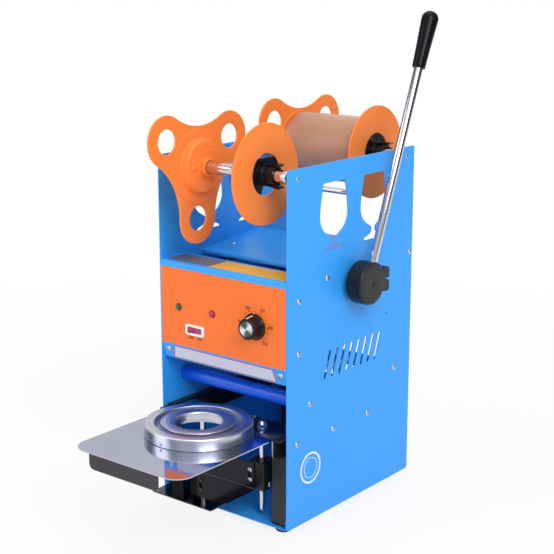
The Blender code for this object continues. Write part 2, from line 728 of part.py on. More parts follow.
def lobe_outline(centre):
    """Outline of the three-lobed reel plate: lobe arcs, joined smoothly by hollow waist arcs."""
    spread = LOBE_WAIST**2 + LOBE_DISTANCE**2 - LOBE_DISTANCE * LOBE_WAIST - LOBE_RADIUS**2
    waist_radius = spread / (2 * LOBE_RADIUS - 2 * LOBE_WAIST + LOBE_DISTANCE)
    waist_distance = waist_radius + LOBE_WAIST
    outline = []
    for number in range(3):
        turn = LOBE_ANGLE + math.tau * number / 3
        lobe = Vector((math.cos(turn), math.sin(turn))) * LOBE_DISTANCE
        waist = Vector((math.cos(turn + math.pi / 3), math.sin(turn + math.pi / 3))) * waist_distance
        half = (waist - lobe).angle(lobe)
        outline += arc(lobe, LOBE_RADIUS, turn - half, turn + half, LOBE_STEPS)
        facing = turn + math.pi / 3 + math.pi
        open_half = (lobe - waist).angle(-waist)
        outline += arc(waist, waist_radius, facing + open_half, facing - open_half, WAIST_STEPS)[1:-1]
    return [(centre[0] + point[0], centre[1] + point[1]) for point in outline]


def clamp_outline(centre, turn):
    """Outline of the clamp flange: a round plate with a deep notch at one side and a flat opposite it."""
    radius = DISC_HOLE_RADIUS - FIT
    flat_start = CLAMP_FLAT_TURN - CLAMP_FLAT_HALF
    flat_end = CLAMP_FLAT_TURN + CLAMP_FLAT_HALF
    outline = arc(centre, radius, turn + CLAMP_NOTCH_HALF, turn + flat_start, 8)
    outline += arc(centre, radius, turn + flat_end, turn + math.tau - CLAMP_NOTCH_HALF, 10)
    outline += arc(centre, CLAMP_NOTCH_RADIUS, turn - CLAMP_NOTCH_HALF, turn + CLAMP_NOTCH_HALF, 6)
    return outline


def build_reel(end, y, lobe_x, disc_x, clamp_turn, orange, chrome, black, root):
    """A film reel: shaft, three-lobed plate with its core-centring dish, outer disc and clamp."""
    place = (0, y, REEL_Z)
    carrier = pivot(f"{end}_reel_axis", root, place)
    journal_x = SPAN - REEL_JOURNAL
    shaft_profile = [
        (0, -SPAN + FIT),
        (REEL_JOURNAL_RADIUS, -SPAN + FIT),
        (REEL_JOURNAL_RADIUS, -journal_x),
        (REEL_SHAFT_RADIUS, -journal_x),
        (REEL_SHAFT_RADIUS, journal_x),
        (REEL_JOURNAL_RADIUS, journal_x),
        (REEL_JOURNAL_RADIUS, SPAN - FIT),
        (0, SPAN - FIT),
    ]
    piece(f"{end}_reel_shaft", turned("X", place, shaft_profile, SMALL_ROUND), chrome, carrier)

    plate_low = lobe_x - REEL_THICKNESS / 2
    plate_high = lobe_x + REEL_THICKNESS / 2
    holes = []
    for number in range(3):
        turn = LOBE_ANGLE + math.tau * number / 3
        centre = (y + LOBE_DISTANCE * math.cos(turn), REEL_Z + LOBE_DISTANCE * math.sin(turn))
        holes.append(circle(centre, LOBE_HOLE_RADIUS, SMALL_ROUND))
    holes.append(circle((y, REEL_Z), LOBE_STEP_RADIUS - REEL_THICKNESS, DISC_STEPS))
    plate = extruded("X", plate_low, plate_high, lobe_outline((y, REEL_Z)), holes)
    dish_profile = [
        (REEL_BORE, plate_low),
        (LOBE_STEP_RADIUS, plate_low),
        (LOBE_STEP_RADIUS, plate_high + LOBE_STEP_HEIGHT),
        (LOBE_DISH_RADIUS, plate_high + LOBE_STEP_HEIGHT),
        (LOBE_DISH_RADIUS, plate_high + LOBE_DISH_HEIGHT - LOBE_DISH_TAPER),
        (LOBE_DISH_RADIUS - LOBE_DISH_TAPER, plate_high + LOBE_DISH_HEIGHT),
        (LOBE_HUB_RADIUS, plate_high + LOBE_DISH_HEIGHT),
        (LOBE_HUB_RADIUS, plate_high + LOBE_HUB_HEIGHT),
        (REEL_BORE, plate_high + LOBE_HUB_HEIGHT),
    ]
    dish = turned("X", place, dish_profile, DISC_STEPS)
    piece(f"{end}_reel_lobe", plate, orange, carrier, joined=[dish])

    disc_low = disc_x - REEL_THICKNESS / 2
    disc_high = disc_x + REEL_THICKNESS / 2
    disc_profile = [
        (DISC_HOLE_RADIUS, disc_low),
        (DISC_RADIUS, disc_low),
        (DISC_RADIUS, disc_high),
        (DISC_HOLE_RADIUS, disc_high),
    ]
    piece(f"{end}_reel_disc", turned("X", place, disc_profile, DISC_STEPS), orange, carrier)

    nut_start = disc_high + CLAMP_STEP
    core_profile = [
        (0, disc_low),
        (CLAMP_STEP_RADIUS, disc_low),
        (CLAMP_STEP_RADIUS, nut_start),
        (CLAMP_CORE_RADIUS, nut_start),
        (CLAMP_CORE_RADIUS, disc_high + CLAMP_CORE_LENGTH),
        (0, disc_high + CLAMP_CORE_LENGTH),
    ]
    core = turned("X", place, core_profile, CLAMP_STEPS)
    bore = cylinder("X", place, REEL_BORE, disc_low - SHEET, disc_high + WING_LENGTH, CLAMP_STEPS)
    shapes = [extruded("X", disc_low + FIT, disc_high, clamp_outline((y, REEL_Z), clamp_turn))]
    tip_x = disc_high + WING_LENGTH
    for side in (-1, 1):
        wing = [
            (nut_start - CLAMP_STEP / 2, WING_LOW),
            (nut_start - CLAMP_STEP / 2, WING_ROOT),
            (tip_x - WING_SLOPE, WING_TIP),
            (tip_x, WING_TIP - CLAMP_STEP / 2),
            (tip_x - WING_SLOPE, WING_LOW + CLAMP_STEP / 2),
            (disc_high + CLAMP_CORE_LENGTH - CLAMP_STEP / 2, WING_LOW),
        ]
        outline = [(x, REEL_Z + side * up) for x, up in wing]
        shapes.append(extruded("Y", y - WING_HALF, y + WING_HALF, outline))
    piece(f"{end}_reel_clamp", core, black, carrier, joined=shapes, cut=[bore])
    return carrier


def build_film(y, paper, film, carrier):
    """The film roll on its paper core, held between the rear reel's plate and disc."""
    core_low = REAR_LOBE_X + REEL_THICKNESS / 2 + LOBE_STEP_HEIGHT + FIT
    core_high = DISC_REAR_X - REEL_THICKNESS / 2 - FIT
    core_inner = LOBE_DISH_RADIUS + FIT
    core_outer = core_inner + CORE_WALL
    film_low = core_low + FILM_EDGE_GAP
    film_high = core_high - FILM_EDGE_GAP
    rings = (
        ("film_core", core_inner, core_outer, core_low, core_high, paper),
        ("film_roll", core_outer + FIT, FILM_RADIUS, film_low, film_high, film),
    )
    for name, inner, outer, low, high, material in rings:
        profile = [(inner, low), (outer, low), (outer, high), (inner, high)]
        piece(name, turned("X", (0, y, REEL_Z), profile, DISC_STEPS), material, carrier)


def build_reel_bearings(black, carrier):
    """The four bearings inside the side panels that the reel shafts turn in."""
    for end, y in (("front", REEL_INSET), ("rear", BODY_DEPTH - REEL_INSET)):
        for hand, side in (("left", -1), ("right", 1)):
            low, high = mirrored(side, SPAN - REEL_BEARING_DEPTH, SPAN)
            bore = REEL_JOURNAL_RADIUS + FIT
            profile = [(bore, low), (REEL_BEARING_RADIUS, low), (REEL_BEARING_RADIUS, high), (bore, high)]
            bearing = turned("X", (0, y, REEL_Z), profile, SMALL_ROUND)
            piece(f"reel_bearing_{end}_{hand}", bearing, black, carrier)


def lever_point(distance):
    """A point on the lever rod's centre line, at a distance from the shaft's axis."""
    return Vector(
        (LEVER_ROD_X, LEVER_Y + distance * math.sin(LEVER_LEAN), LEVER_Z + distance * math.cos(LEVER_LEAN))
    )


def along_lever(profile, steps):
    """A turned shape whose axis is the lever rod's centre line."""
    bm = turned("Z", (0, 0, 0), profile, steps)
    lean = Matrix.Rotation(-LEVER_LEAN, 4, "X")
    bm.transform(Matrix.Translation(lever_point(0)) @ lean)
    return bm


def cam_outline():
    """The cam's edge: each degree of pull presses the round-topped ram down by the same amount."""
    rise = HEAD_TRAVEL / LEVER_TURN
    gap = RAM_RADIUS + FIT
    edge = []
    steps = round(LEVER_TURN / CAM_STEP)
    start = -math.pi / 2
    for number in range(steps + 1):
        pull = LEVER_TURN * number / steps
        turn = start - pull
        reach = CAM_PITCH_REST + rise * pull
        spoke = Vector((math.cos(turn), math.sin(turn)))
        across = Vector((math.sin(turn), -math.cos(turn)))
        travel = (spoke * rise + across * reach).normalized()
        outward = Vector((-travel.y, travel.x))
        if outward.dot(spoke) < 0:
            outward = -outward
        edge.append(spoke * reach - outward * gap)
    base = CAM_PITCH_REST - gap - CAM_RELIEF
    top = edge[-1]
    fall_steps = 5
    for number in range(1, fall_steps + 1):
        share = number / fall_steps
        turn = math.atan2(top.y, top.x) - CAM_FALL * share
        radius = top.length + (base - top.length) * share
        edge.append(Vector((math.cos(turn), math.sin(turn))) * radius)
    last = math.atan2(edge[-1].y, edge[-1].x)
    first = math.atan2(edge[0].y, edge[0].x) - math.tau
    if last > first + math.tau:
        last -= math.tau
    rest_steps = 10
    for number in range(1, rest_steps):
        turn = last + (first - last) * number / rest_steps
        edge.append(Vector((math.cos(turn), math.sin(turn))) * base)
    return [(LEVER_Y + point.x, LEVER_Z + point.y) for point in edge]


def build_lever(chrome, black, steel, fixed, root):
    """The lever with its shaft and cam, and the bushes that the shaft turns in."""
    axis_place = (0, LEVER_Y, LEVER_Z)
    carrier = pivot("lever_axis", root, axis_place)
    bush_bore = SHAFT_RADIUS + FIT
    outer_x = BODY_WIDTH / 2
    for hand, side in (("left", -1), ("right", 1)):
        inner_nut = INNER - FIT
        profile = [
            (bush_bore, side * (inner_nut - BUSH_NUT)),
            (BUSH_NUT_RADIUS, side * (inner_nut - BUSH_NUT)),
            (BUSH_NUT_RADIUS, side * inner_nut),
            (BUSH_RADIUS, side * inner_nut),
            (BUSH_RADIUS, side * (outer_x + FIT)),
            (BUSH_FLANGE_RADIUS, side * (outer_x + FIT)),
            (BUSH_FLANGE_RADIUS, side * (outer_x + FIT + BUSH_FLANGE)),
            (bush_bore, side * (outer_x + FIT + BUSH_FLANGE)),
        ]
        piece(f"lever_bush_{hand}", turned("X", axis_place, profile, ROUND), steel, fixed)

    shaft_end = HUB_OUTER_X - HUB_FACE - FIT
    shaft = cylinder("X", axis_place, SHAFT_RADIUS, -outer_x - SHAFT_LEFT_OVERHANG, shaft_end, SMALL_ROUND)
    piece("lever_shaft", shaft, chrome, carrier)

    hub_low = HUB_OUTER_X - HUB_THICKNESS
    ear_turn = math.asin(EAR_HALF / HUB_RADIUS)
    rim = arc((0, 0), HUB_RADIUS, ear_turn, math.tau - ear_turn, HUB_STEPS)
    ear = [
        (EAR_REACH, -EAR_HALF),
        (EAR_REACH, -EAR_SLIT / 2),
        (SHAFT_RADIUS, -EAR_SLIT / 2),
        (SHAFT_RADIUS, EAR_SLIT / 2),
        (EAR_REACH, EAR_SLIT / 2),
        (EAR_REACH, EAR_HALF),
    ]
    outline = [(LEVER_Y + across, LEVER_Z + up) for across, up in rim + ear]
    hub = extruded("X", hub_low, HUB_OUTER_X, outline)
    neck_start = outer_x + FIT + BUSH_FLANGE + FIT
    neck = cylinder("X", axis_place, HUB_NECK_RADIUS, neck_start, hub_low + HUB_FACE, ROUND)
    bore_start = neck_start - HUB_FACE
    bore_end = HUB_OUTER_X - HUB_FACE
    bore = cylinder("X", axis_place, SHAFT_RADIUS + FIT, bore_start, bore_end, SMALL_ROUND)
    socket = along_lever(
        [
            (0, LEVER_ROD_START - FIT),
            (LEVER_ROD_RADIUS + FIT, LEVER_ROD_START - FIT),
            (LEVER_ROD_RADIUS + FIT, HUB_RADIUS + HUB_FACE),
            (0, HUB_RADIUS + HUB_FACE),
        ],
        SMALL_ROUND,
    )
    piece("lever_hub", hub, black, carrier, joined=[neck], cut=[bore, socket])

    rod_end = GRIP_START + GRIP_BORE_DEPTH - FIT
    rod_profile = [
        (0, LEVER_ROD_START),
        (LEVER_ROD_RADIUS, LEVER_ROD_START),
        (LEVER_ROD_RADIUS, rod_end),
        (0, rod_end),
    ]
    piece("lever_rod", along_lever(rod_profile, SMALL_ROUND), chrome, carrier)

    dome_start = GRIP_END - GRIP_HIGH_RADIUS
    grip_bore = LEVER_ROD_RADIUS + FIT
    grip_profile = [
        (0, GRIP_START + GRIP_BORE_DEPTH),
        (grip_bore, GRIP_START + GRIP_BORE_DEPTH),
        (grip_bore, GRIP_START),
        (GRIP_LOW_RADIUS - GRIP_LIP, GRIP_START),
        (GRIP_LOW_RADIUS, GRIP_START + GRIP_LIP),
    ]
    for number in range(GRIP_DOME_STEPS + 1):
        turn = math.pi / 2 * number / GRIP_DOME_STEPS
        rise = GRIP_HIGH_RADIUS * math.sin(turn)
        grip_profile.append((GRIP_HIGH_RADIUS * math.cos(turn), dome_start + rise))
    grip_profile[-1] = (0, GRIP_END)
    piece("lever_grip", along_lever(grip_profile, ROUND), black, carrier)

    shaft_hole = circle((LEVER_Y, LEVER_Z), SHAFT_RADIUS + FIT, SMALL_ROUND)
    cam = extruded("X", -CAM_THICKNESS / 2, CAM_THICKNESS / 2, cam_outline(), [shaft_hole])
    piece("lever_cam", cam, steel, carrier)


def build_head(steel, aluminium, fixed, root):
    """The sealing head on its two guide columns, with the ram, the heating plate and the cutter."""
    carrier = pivot("sealing_head_slide", root, (0, LEVER_Y, CARRIER_LOW_Z))
    centre = (0, LEVER_Y, 0)
    carrier_high_z = CARRIER_LOW_Z + CARRIER_THICKNESS
    column_hole = COLUMN_RADIUS + FIT

    bar = rectangle((-SPAN, LEVER_Y - CROSSBAR_HALF_Y), (SPAN, LEVER_Y + CROSSBAR_HALF_Y))
    bar_holes = [circle((side * COLUMN_X, LEVER_Y), column_hole, SMALL_ROUND) for side in (-1, 1)]
    bar_holes.append(circle((0, LEVER_Y), RAM_RADIUS + RAM_GUIDE_GAP, SMALL_ROUND))
    crossbar = extruded("Z", CROSSBAR_LOW_Z, CROSSBAR_LOW_Z + CROSSBAR_THICKNESS, bar, bar_holes)
    ends = []
    for side in (-1, 1):
        low, high = mirrored(side, SPAN - 2 * SHEET, SPAN)
        end_low = (low, LEVER_Y - CROSSBAR_HALF_Y, CROSSBAR_LOW_Z + CROSSBAR_THICKNESS / 2)
        ends.append(block(end_low, (high, LEVER_Y + CROSSBAR_HALF_Y, CROSSBAR_LOW_Z + CROSSBAR_FLANGE)))
    piece("head_crossbar", crossbar, steel, fixed, joined=ends)

    column_top = CROSSBAR_LOW_Z + CROSSBAR_THICKNESS + COLUMN_TOP_PROUD
    for hand, side in (("left", -1), ("right", 1)):
        column_place = (side * COLUMN_X, LEVER_Y, 0)
        column = cylinder("Z", column_place, COLUMN_RADIUS, COLUMN_LOW_Z, column_top, SMALL_ROUND)
        piece(f"guide_column_{hand}", column, aluminium, fixed)

    side_turn = math.asin(CARRIER_HALF_Y / CARRIER_DISC_RADIUS)
    right = arc((0, LEVER_Y), CARRIER_DISC_RADIUS, math.pi + side_turn, math.tau - side_turn, CARRIER_STEPS)
    left = arc((0, LEVER_Y), CARRIER_DISC_RADIUS, side_turn, math.pi - side_turn, CARRIER_STEPS)
    outline = [
        *right,
        (CARRIER_HALF_X, LEVER_Y - CARRIER_HALF_Y),
        (CARRIER_HALF_X, LEVER_Y + CARRIER_HALF_Y),
        *left,
        (-CARRIER_HALF_X, LEVER_Y + CARRIER_HALF_Y),
        (-CARRIER_HALF_X, LEVER_Y - CARRIER_HALF_Y),
    ]
    bores = [circle((side * COLUMN_X, LEVER_Y), column_hole, SMALL_ROUND) for side in (-1, 1)]
    plate = extruded("Z", CARRIER_LOW_Z, carrier_high_z, outline, bores)
    piece("head_carrier", plate, aluminium, carrier)

    dome_z = LEVER_Z - CAM_PITCH_REST
    ram_profile = [
        (0, carrier_high_z + FIT),
        (RAM_FOOT_RADIUS, carrier_high_z + FIT),
        (RAM_FOOT_RADIUS, carrier_high_z + FIT + RAM_FOOT),
        (RAM_RADIUS, carrier_high_z + FIT + RAM_FOOT),
    ]
    for number in range(RAM_DOME_STEPS + 1):
        turn = math.pi / 2 * number / RAM_DOME_STEPS
        ram_profile.append((RAM_RADIUS * math.cos(turn), dome_z + RAM_RADIUS * math.sin(turn)))
    ram_profile[-1] = (0, dome_z + RAM_RADIUS)
    piece("press_ram", turned("Z", centre, ram_profile, SMALL_ROUND), steel, carrier)

    heater_low = MOULD_TOP_Z + HEATER_CLOSED_GAP + HEAD_TRAVEL
    heater_profile = [
        (0, heater_low),
        (HEATER_RADIUS, heater_low),
        (HEATER_RADIUS, heater_low + HEATER_THICKNESS),
        (HEATER_STEM_RADIUS, heater_low + HEATER_THICKNESS),
        (HEATER_STEM_RADIUS, CARRIER_LOW_Z - FIT),
        (0, CARRIER_LOW_Z - FIT),
    ]
    piece("heating_plate", turned("Z", centre, heater_profile, DISC_STEPS), aluminium, carrier)

    cutter_low = MOULD_TOP_Z - CUTTER_EDGE_REACH + HEAD_TRAVEL
    cutter_top = CARRIER_LOW_Z - FIT
    cutter_profile = [
        (CUTTER_INNER_RADIUS, cutter_low),
        (CUTTER_INNER_RADIUS + FIT, cutter_low),
        (CUTTER_OUTER_RADIUS, cutter_low + CUTTER_BEVEL),
        (CUTTER_OUTER_RADIUS, cutter_top - CUTTER_FLANGE),
        (CUTTER_FLANGE_RADIUS, cutter_top - CUTTER_FLANGE),
        (CUTTER_FLANGE_RADIUS, cutter_top),
        (CUTTER_INNER_RADIUS, cutter_top),
    ]
    piece("cutter_ring", turned("Z", centre, cutter_profile, DISC_STEPS), steel, carrier)


def build_drawer(polished, aluminium, chrome, zinc, fixed, root):
    """The pull-out drawer with its cup mould, the rods of the cup rest, and the slides at its sides."""
    carrier = pivot("drawer_slide", root, (0, TRAY_REAR_Y, TRAY_TOP_Z))
    tray_low = TRAY_TOP_Z - SHEET
    corners = rectangle((-TRAY_HALF_X, TRAY_FRONT_Y), (TRAY_HALF_X, TRAY_REAR_Y))
    radii = [TRAY_FRONT_CORNER, TRAY_FRONT_CORNER, TRAY_REAR_CORNER, TRAY_REAR_CORNER]
    outline = rounded(corners, radii, TRAY_CORNER_STEPS)
    holes = [circle((0, MOULD_Y), TRAY_HOLE_RADIUS, MOULD_STEPS)]
    for side in (-1, 1):
        holes.append(circle((side * REST_ROD_X, REST_ROD_Y), REST_ROD_RADIUS + FIT, SMALL_ROUND))
    tray = extruded("Z", tray_low, TRAY_TOP_Z, outline, holes)
    lip_outline = [
        (-LIP_LOW_HALF, LIP_LOW_Z),
        (LIP_LOW_HALF, LIP_LOW_Z),
        (LIP_TOP_HALF, LIP_LOW_Z + SHEET * 3),
        (LIP_TOP_HALF, tray_low + SHEET / 2),
        (-LIP_TOP_HALF, tray_low + SHEET / 2),
        (-LIP_TOP_HALF, LIP_LOW_Z + SHEET * 3),
    ]
    folds = [extruded("Y", TRAY_FRONT_Y, TRAY_FRONT_Y + SHEET, lip_outline)]
    for side in (-1, 1):
        low, high = mirrored(side, TRAY_HALF_X - SHEET, TRAY_HALF_X)
        ear_low = (low, TRAY_EAR_FRONT_Y, TRAY_EAR_LOW_Z)
        ear_high = (high, TRAY_REAR_Y - TRAY_REAR_CORNER, tray_low + SHEET / 2)
        folds.append(block(ear_low, ear_high))
    piece("drawer_tray", tray, polished, carrier, joined=folds)

    mould_place = (0, MOULD_Y, 0)
    floor_z = MOULD_TOP_Z - MOULD_GROOVE_DEPTH
    mould_profile = [
        (MOULD_BORE_RADIUS, MOULD_BOTTOM_Z),
        (MOULD_RADIUS, MOULD_BOTTOM_Z),
        (MOULD_RADIUS, MOULD_TOP_Z - MOULD_CHAMFER),
        (MOULD_RADIUS - MOULD_CHAMFER, MOULD_TOP_Z),
        (MOULD_INNER_RADIUS, MOULD_TOP_Z),
        (MOULD_INNER_RADIUS, floor_z),
        (MOULD_BORE_RADIUS, floor_z),
    ]
    piece("cup_mould", turned("Z", mould_place, mould_profile, MOULD_STEPS), aluminium, carrier)

    insert_profile = [
        (INSERT_RELIEF_RADIUS, MOULD_BOTTOM_Z),
        (MOULD_BORE_RADIUS - FIT, MOULD_BOTTOM_Z),
        (MOULD_BORE_RADIUS - FIT, floor_z + FIT),
        (INSERT_RADIUS, floor_z + FIT),
        (INSERT_RADIUS, MOULD_TOP_Z),
        (INSERT_MOUTH_RADIUS, MOULD_TOP_Z),
        (INSERT_HOLE_RADIUS, MOULD_TOP_Z - INSERT_MOUTH_DEPTH),
        (INSERT_HOLE_RADIUS, MOULD_TOP_Z - INSERT_WALL),
        (INSERT_RELIEF_RADIUS, MOULD_TOP_Z - INSERT_WALL),
    ]
    piece("cup_ring_insert", turned("Z", mould_place, insert_profile, MOULD_STEPS), aluminium, carrier)

    rail_low_z = RAIL_CENTRE_Z - RAIL_HALF_HEIGHT
    rail_high_z = RAIL_CENTRE_Z + RAIL_HALF_HEIGHT
    slide_low_z = RAIL_CENTRE_Z - SLIDE_HALF_HEIGHT
    slide_high_z = RAIL_CENTRE_Z + SLIDE_HALF_HEIGHT
    for hand, side in (("left", -1), ("right", 1)):
        rod_place = (side * REST_ROD_X, REST_ROD_Y, 0)
        rod = cylinder("Z", rod_place, REST_ROD_RADIUS, REST_ROD_LOW_Z, TRAY_TOP_Z + FIT, SMALL_ROUND)
        piece(f"rest_rod_{hand}", rod, chrome, carrier)

        rail_in = side * (SPAN - RAIL_LIP)
        rail_out = side * SPAN
        rail_path = [
            (rail_in, rail_low_z),
            (rail_out, rail_low_z),
            (rail_out, rail_high_z),
            (rail_in, rail_high_z),
        ]
        if side > 0:
            rail_path.reverse()
        rail = extruded("Y", RAIL_FRONT_Y, RAIL_REAR_Y, folded(rail_path, SHEET, SHEET * 1.2))
        piece(f"drawer_rail_{hand}", rail, zinc, fixed)

        web = side * (TRAY_HALF_X + FIT)
        tip = side * (TRAY_HALF_X + FIT + SLIDE_WIDTH)
        slide_path = [(tip, slide_low_z), (web, slide_low_z), (web, slide_high_z), (tip, slide_high_z)]
        if side < 0:
            slide_path.reverse()
        slide = extruded("Y", TRAY_EAR_FRONT_Y, TRAY_REAR_Y, folded(slide_path, SHEET, SHEET * 1.2))
        piece(f"drawer_slide_{hand}", slide, zinc, carrier)
    return carrier


def build_cup_rest(polished, black, drawer):
    """The angled cup rest on two clamp blocks, which slides up and down the drawer's rods."""
    place = Vector((0, REST_ROD_Y, REST_PLATE_LOW_Z)) - drawer.location
    carrier = pivot("cup_rest_slide", drawer, place)
    plate_y = REST_ROD_Y - REST_BLOCK_HALF - FIT
    path = [
        (plate_y, REST_PLATE_HIGH_Z),
        (plate_y, REST_PLATE_LOW_Z),
        (REST_PLATE_FRONT_Y, REST_PLATE_LOW_Z),
    ]
    plate = extruded("X", -REST_PLATE_HALF_X, REST_PLATE_HALF_X, folded(path, SHEET))
    slots = []
    for side in (-1, 1):
        low = (side * REST_SLOT_X - REST_SLOT_HALF, plate_y - 2 * SHEET, REST_SLOT_LOW_Z)
        high = (side * REST_SLOT_X + REST_SLOT_HALF, plate_y + SHEET, REST_SLOT_HIGH_Z)
        slots.append(block(low, high))
    pieces = [piece("cup_rest_plate", plate, polished, carrier, cut=slots)]
    for hand, side in (("left", -1), ("right", 1)):
        x = side * REST_ROD_X
        low = (x - REST_BLOCK_HALF, REST_ROD_Y - REST_BLOCK_HALF, REST_BLOCK_LOW_Z)
        high = (x + REST_BLOCK_HALF, REST_ROD_Y + REST_BLOCK_HALF, REST_BLOCK_HIGH_Z)
        bore_low = REST_BLOCK_LOW_Z - SHEET
        bore_high = REST_BLOCK_HIGH_Z + SHEET
        bore = cylinder("Z", (x, REST_ROD_Y, 0), REST_ROD_RADIUS + FIT, bore_low, bore_high, SMALL_ROUND)
        body = block(low, high, REST_BLOCK_BEVEL)
        pieces.append(piece(f"rest_block_{hand}", body, black, carrier, cut=[bore]))
    for item in pieces:
        for part in [item, *[step.object for step in item.modifiers]]:
            part.location = -(carrier.location + drawer.location)


def stand_on_origin(root):
    """Moves the machine so that the middle of its box's underside is the origin."""
    bpy.context.view_layer.update()
    graph = bpy.context.evaluated_depsgraph_get()
    corners = []
    for item in bpy.data.objects:
        if item.type == "MESH" and not item.hide_render:
            shape = item.evaluated_get(graph)
            corners += [shape.matrix_world @ vertex.co for vertex in shape.data.vertices]
    low = Vector(min(corner[axis] for corner in corners) for axis in range(3))
    high = Vector(max(corner[axis] for corner in corners) for axis in range(3))
    root.location = (-(low.x + high.x) / 2, -(low.y + high.y) / 2, -low.z)


def build_machine():
    """Builds every piece under one root empty."""
    clear_scene()
    root = pivot("machine", None, (0, 0, 0))

    blue = finish("painted_blue", (0.105, 0.418, 1.0), 0.35, 0.0)
    orange = finish("orange_plastic", (1.0, 0.22, 0.045), 0.4, 0.0)
    black = finish("black_plastic", (0.012, 0.012, 0.014), 0.4, 0.0)
    rubber = finish("black_rubber", (0.015, 0.015, 0.015), 0.8, 0.0)
    chrome = finish("chrome", (0.75, 0.76, 0.8), 0.08, 1.0)
    polished = finish("polished_steel", (0.62, 0.62, 0.64), 0.12, 1.0)
    aluminium = finish("turned_aluminium", (0.78, 0.79, 0.82), 0.3, 1.0)
    steel = finish("machined_steel", (0.4, 0.4, 0.42), 0.35, 1.0)
    zinc = finish("zinc_steel", (0.35, 0.35, 0.36), 0.4, 1.0)
    roller_blue = finish("blue_roller", (0.01, 0.12, 0.8), 0.35, 0.0)
    white = finish("white_plastic", (0.8, 0.8, 0.8), 0.4, 0.0)
    red = finish("red_lens", (0.7, 0.02, 0.05), 0.2, 0.0)
    green = finish("green_lens", (0.02, 0.35, 0.08), 0.2, 0.0)
    paper = finish("paper_core", (0.55, 0.56, 0.58), 0.8, 0.0)
    film = finish("film_roll", (0.52, 0.29, 0.19), 0.35, 0.0)

    fixed = pivot("fixed_frame", root, (0, 0, 0))
    build_shell(blue, chrome, rubber, rubber, fixed)
    build_controls(black, white, red, green, fixed, root)
    build_film_rollers(roller_blue, root)
    front_y = REEL_INSET
    rear_y = BODY_DEPTH - REEL_INSET
    build_reel("front", front_y, FRONT_LOBE_X, DISC_FRONT_X, CLAMP_FRONT_TURN, orange, chrome, black, root)
    rear = build_reel("rear", rear_y, REAR_LOBE_X, DISC_REAR_X, CLAMP_REAR_TURN, orange, chrome, black, root)
    build_film(rear_y, paper, film, rear)
    build_reel_bearings(black, fixed)
    build_lever(chrome, black, steel, fixed, root)
    build_head(steel, aluminium, fixed, root)
    drawer = build_drawer(polished, aluminium, chrome, zinc, fixed, root)
    build_cup_rest(polished, black, drawer)
    stand_on_origin(root)


build_machine()
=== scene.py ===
"""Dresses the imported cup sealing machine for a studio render.

Units are metres. Shapes are drawn in the machine's own frame, as in the part's source: x = 0 in the
middle of the body, y = 0 at the front edges of the side panels, z = 0 at the panels' bottom edges.
Every new object is then placed at SHIFT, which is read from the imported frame.
"""

from math import acos, atan2, cos, pi, radians, sin, tau

import bmesh
import bpy
from mathutils import Matrix, Vector


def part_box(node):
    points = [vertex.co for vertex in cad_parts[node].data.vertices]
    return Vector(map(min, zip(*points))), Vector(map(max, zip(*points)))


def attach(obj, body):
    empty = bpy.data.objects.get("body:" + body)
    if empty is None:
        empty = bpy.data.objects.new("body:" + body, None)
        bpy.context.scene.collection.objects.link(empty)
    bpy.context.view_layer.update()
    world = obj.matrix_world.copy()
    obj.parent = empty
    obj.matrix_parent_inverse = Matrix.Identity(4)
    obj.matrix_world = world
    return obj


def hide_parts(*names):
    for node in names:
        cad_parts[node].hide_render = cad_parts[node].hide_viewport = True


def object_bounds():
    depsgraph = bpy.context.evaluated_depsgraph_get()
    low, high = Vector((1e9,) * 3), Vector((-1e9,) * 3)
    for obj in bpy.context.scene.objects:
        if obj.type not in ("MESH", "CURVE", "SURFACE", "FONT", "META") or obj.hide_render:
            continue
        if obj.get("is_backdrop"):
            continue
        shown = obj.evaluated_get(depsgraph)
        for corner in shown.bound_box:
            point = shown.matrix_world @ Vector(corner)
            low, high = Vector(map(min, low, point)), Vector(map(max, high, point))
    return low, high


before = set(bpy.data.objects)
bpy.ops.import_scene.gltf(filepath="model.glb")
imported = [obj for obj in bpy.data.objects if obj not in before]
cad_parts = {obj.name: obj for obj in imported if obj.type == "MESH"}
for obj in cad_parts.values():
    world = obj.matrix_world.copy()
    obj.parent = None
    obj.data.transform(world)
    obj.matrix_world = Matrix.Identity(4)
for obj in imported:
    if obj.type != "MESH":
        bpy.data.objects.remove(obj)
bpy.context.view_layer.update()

HALF_WIDTH = 0.1101
DEPTH = 0.2864
PANEL_TOP = 0.48
SHEET = 0.0015
SPAN = 0.1083
panel_low, panel_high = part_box("right_side_panel")
SHIFT = Vector((panel_high[0] - HALF_WIDTH, panel_low[1], panel_low[2]))

# Places on the machine, as in the part's source
LEVER_Y = 0.1432
LEVER_Z = 0.314
LEVER_PLACE = (0, LEVER_Y, LEVER_Z)
LEVER_LEAN = radians(21.8)
LEVER_ROD_X = 0.134
REEL_Z = 0.468
FRONT_REEL_Y = 0.02
REAR_REEL_Y = 0.2664
LOBE_ANGLE = radians(28)
LOBE_REACH = 0.0705
TRAY_TOP = 0.1283
TRAY_BOTTOM = TRAY_TOP - SHEET
TRAY_FRONT = -0.188
MOULD_PLACE = (0, -0.0477, 0)
MOULD_RADIUS = 0.072
HEAD_PLACE = (0, LEVER_Y, 0)
KNOB_X = 0.057
KNOB_Z = 0.272
KNOB_PLACE = (KNOB_X, 0, KNOB_Z)
LAMP_XS = {"green": -0.076, "red": -0.016}
LAMP_Z = 0.276
SWITCH_X = -0.0465
SWITCH_Z = 0.248
REST_ROD_X = 0.053
REST_ROD_Y = 0.019
AXES = {"X": Vector((1, 0, 0)), "Y": Vector((0, 1, 0)), "Z": Vector((0, 0, 1))}
HANDS = (("left", -1), ("right", 1))
REEL_ENDS = (("front", FRONT_REEL_Y), ("rear", REAR_REEL_Y))


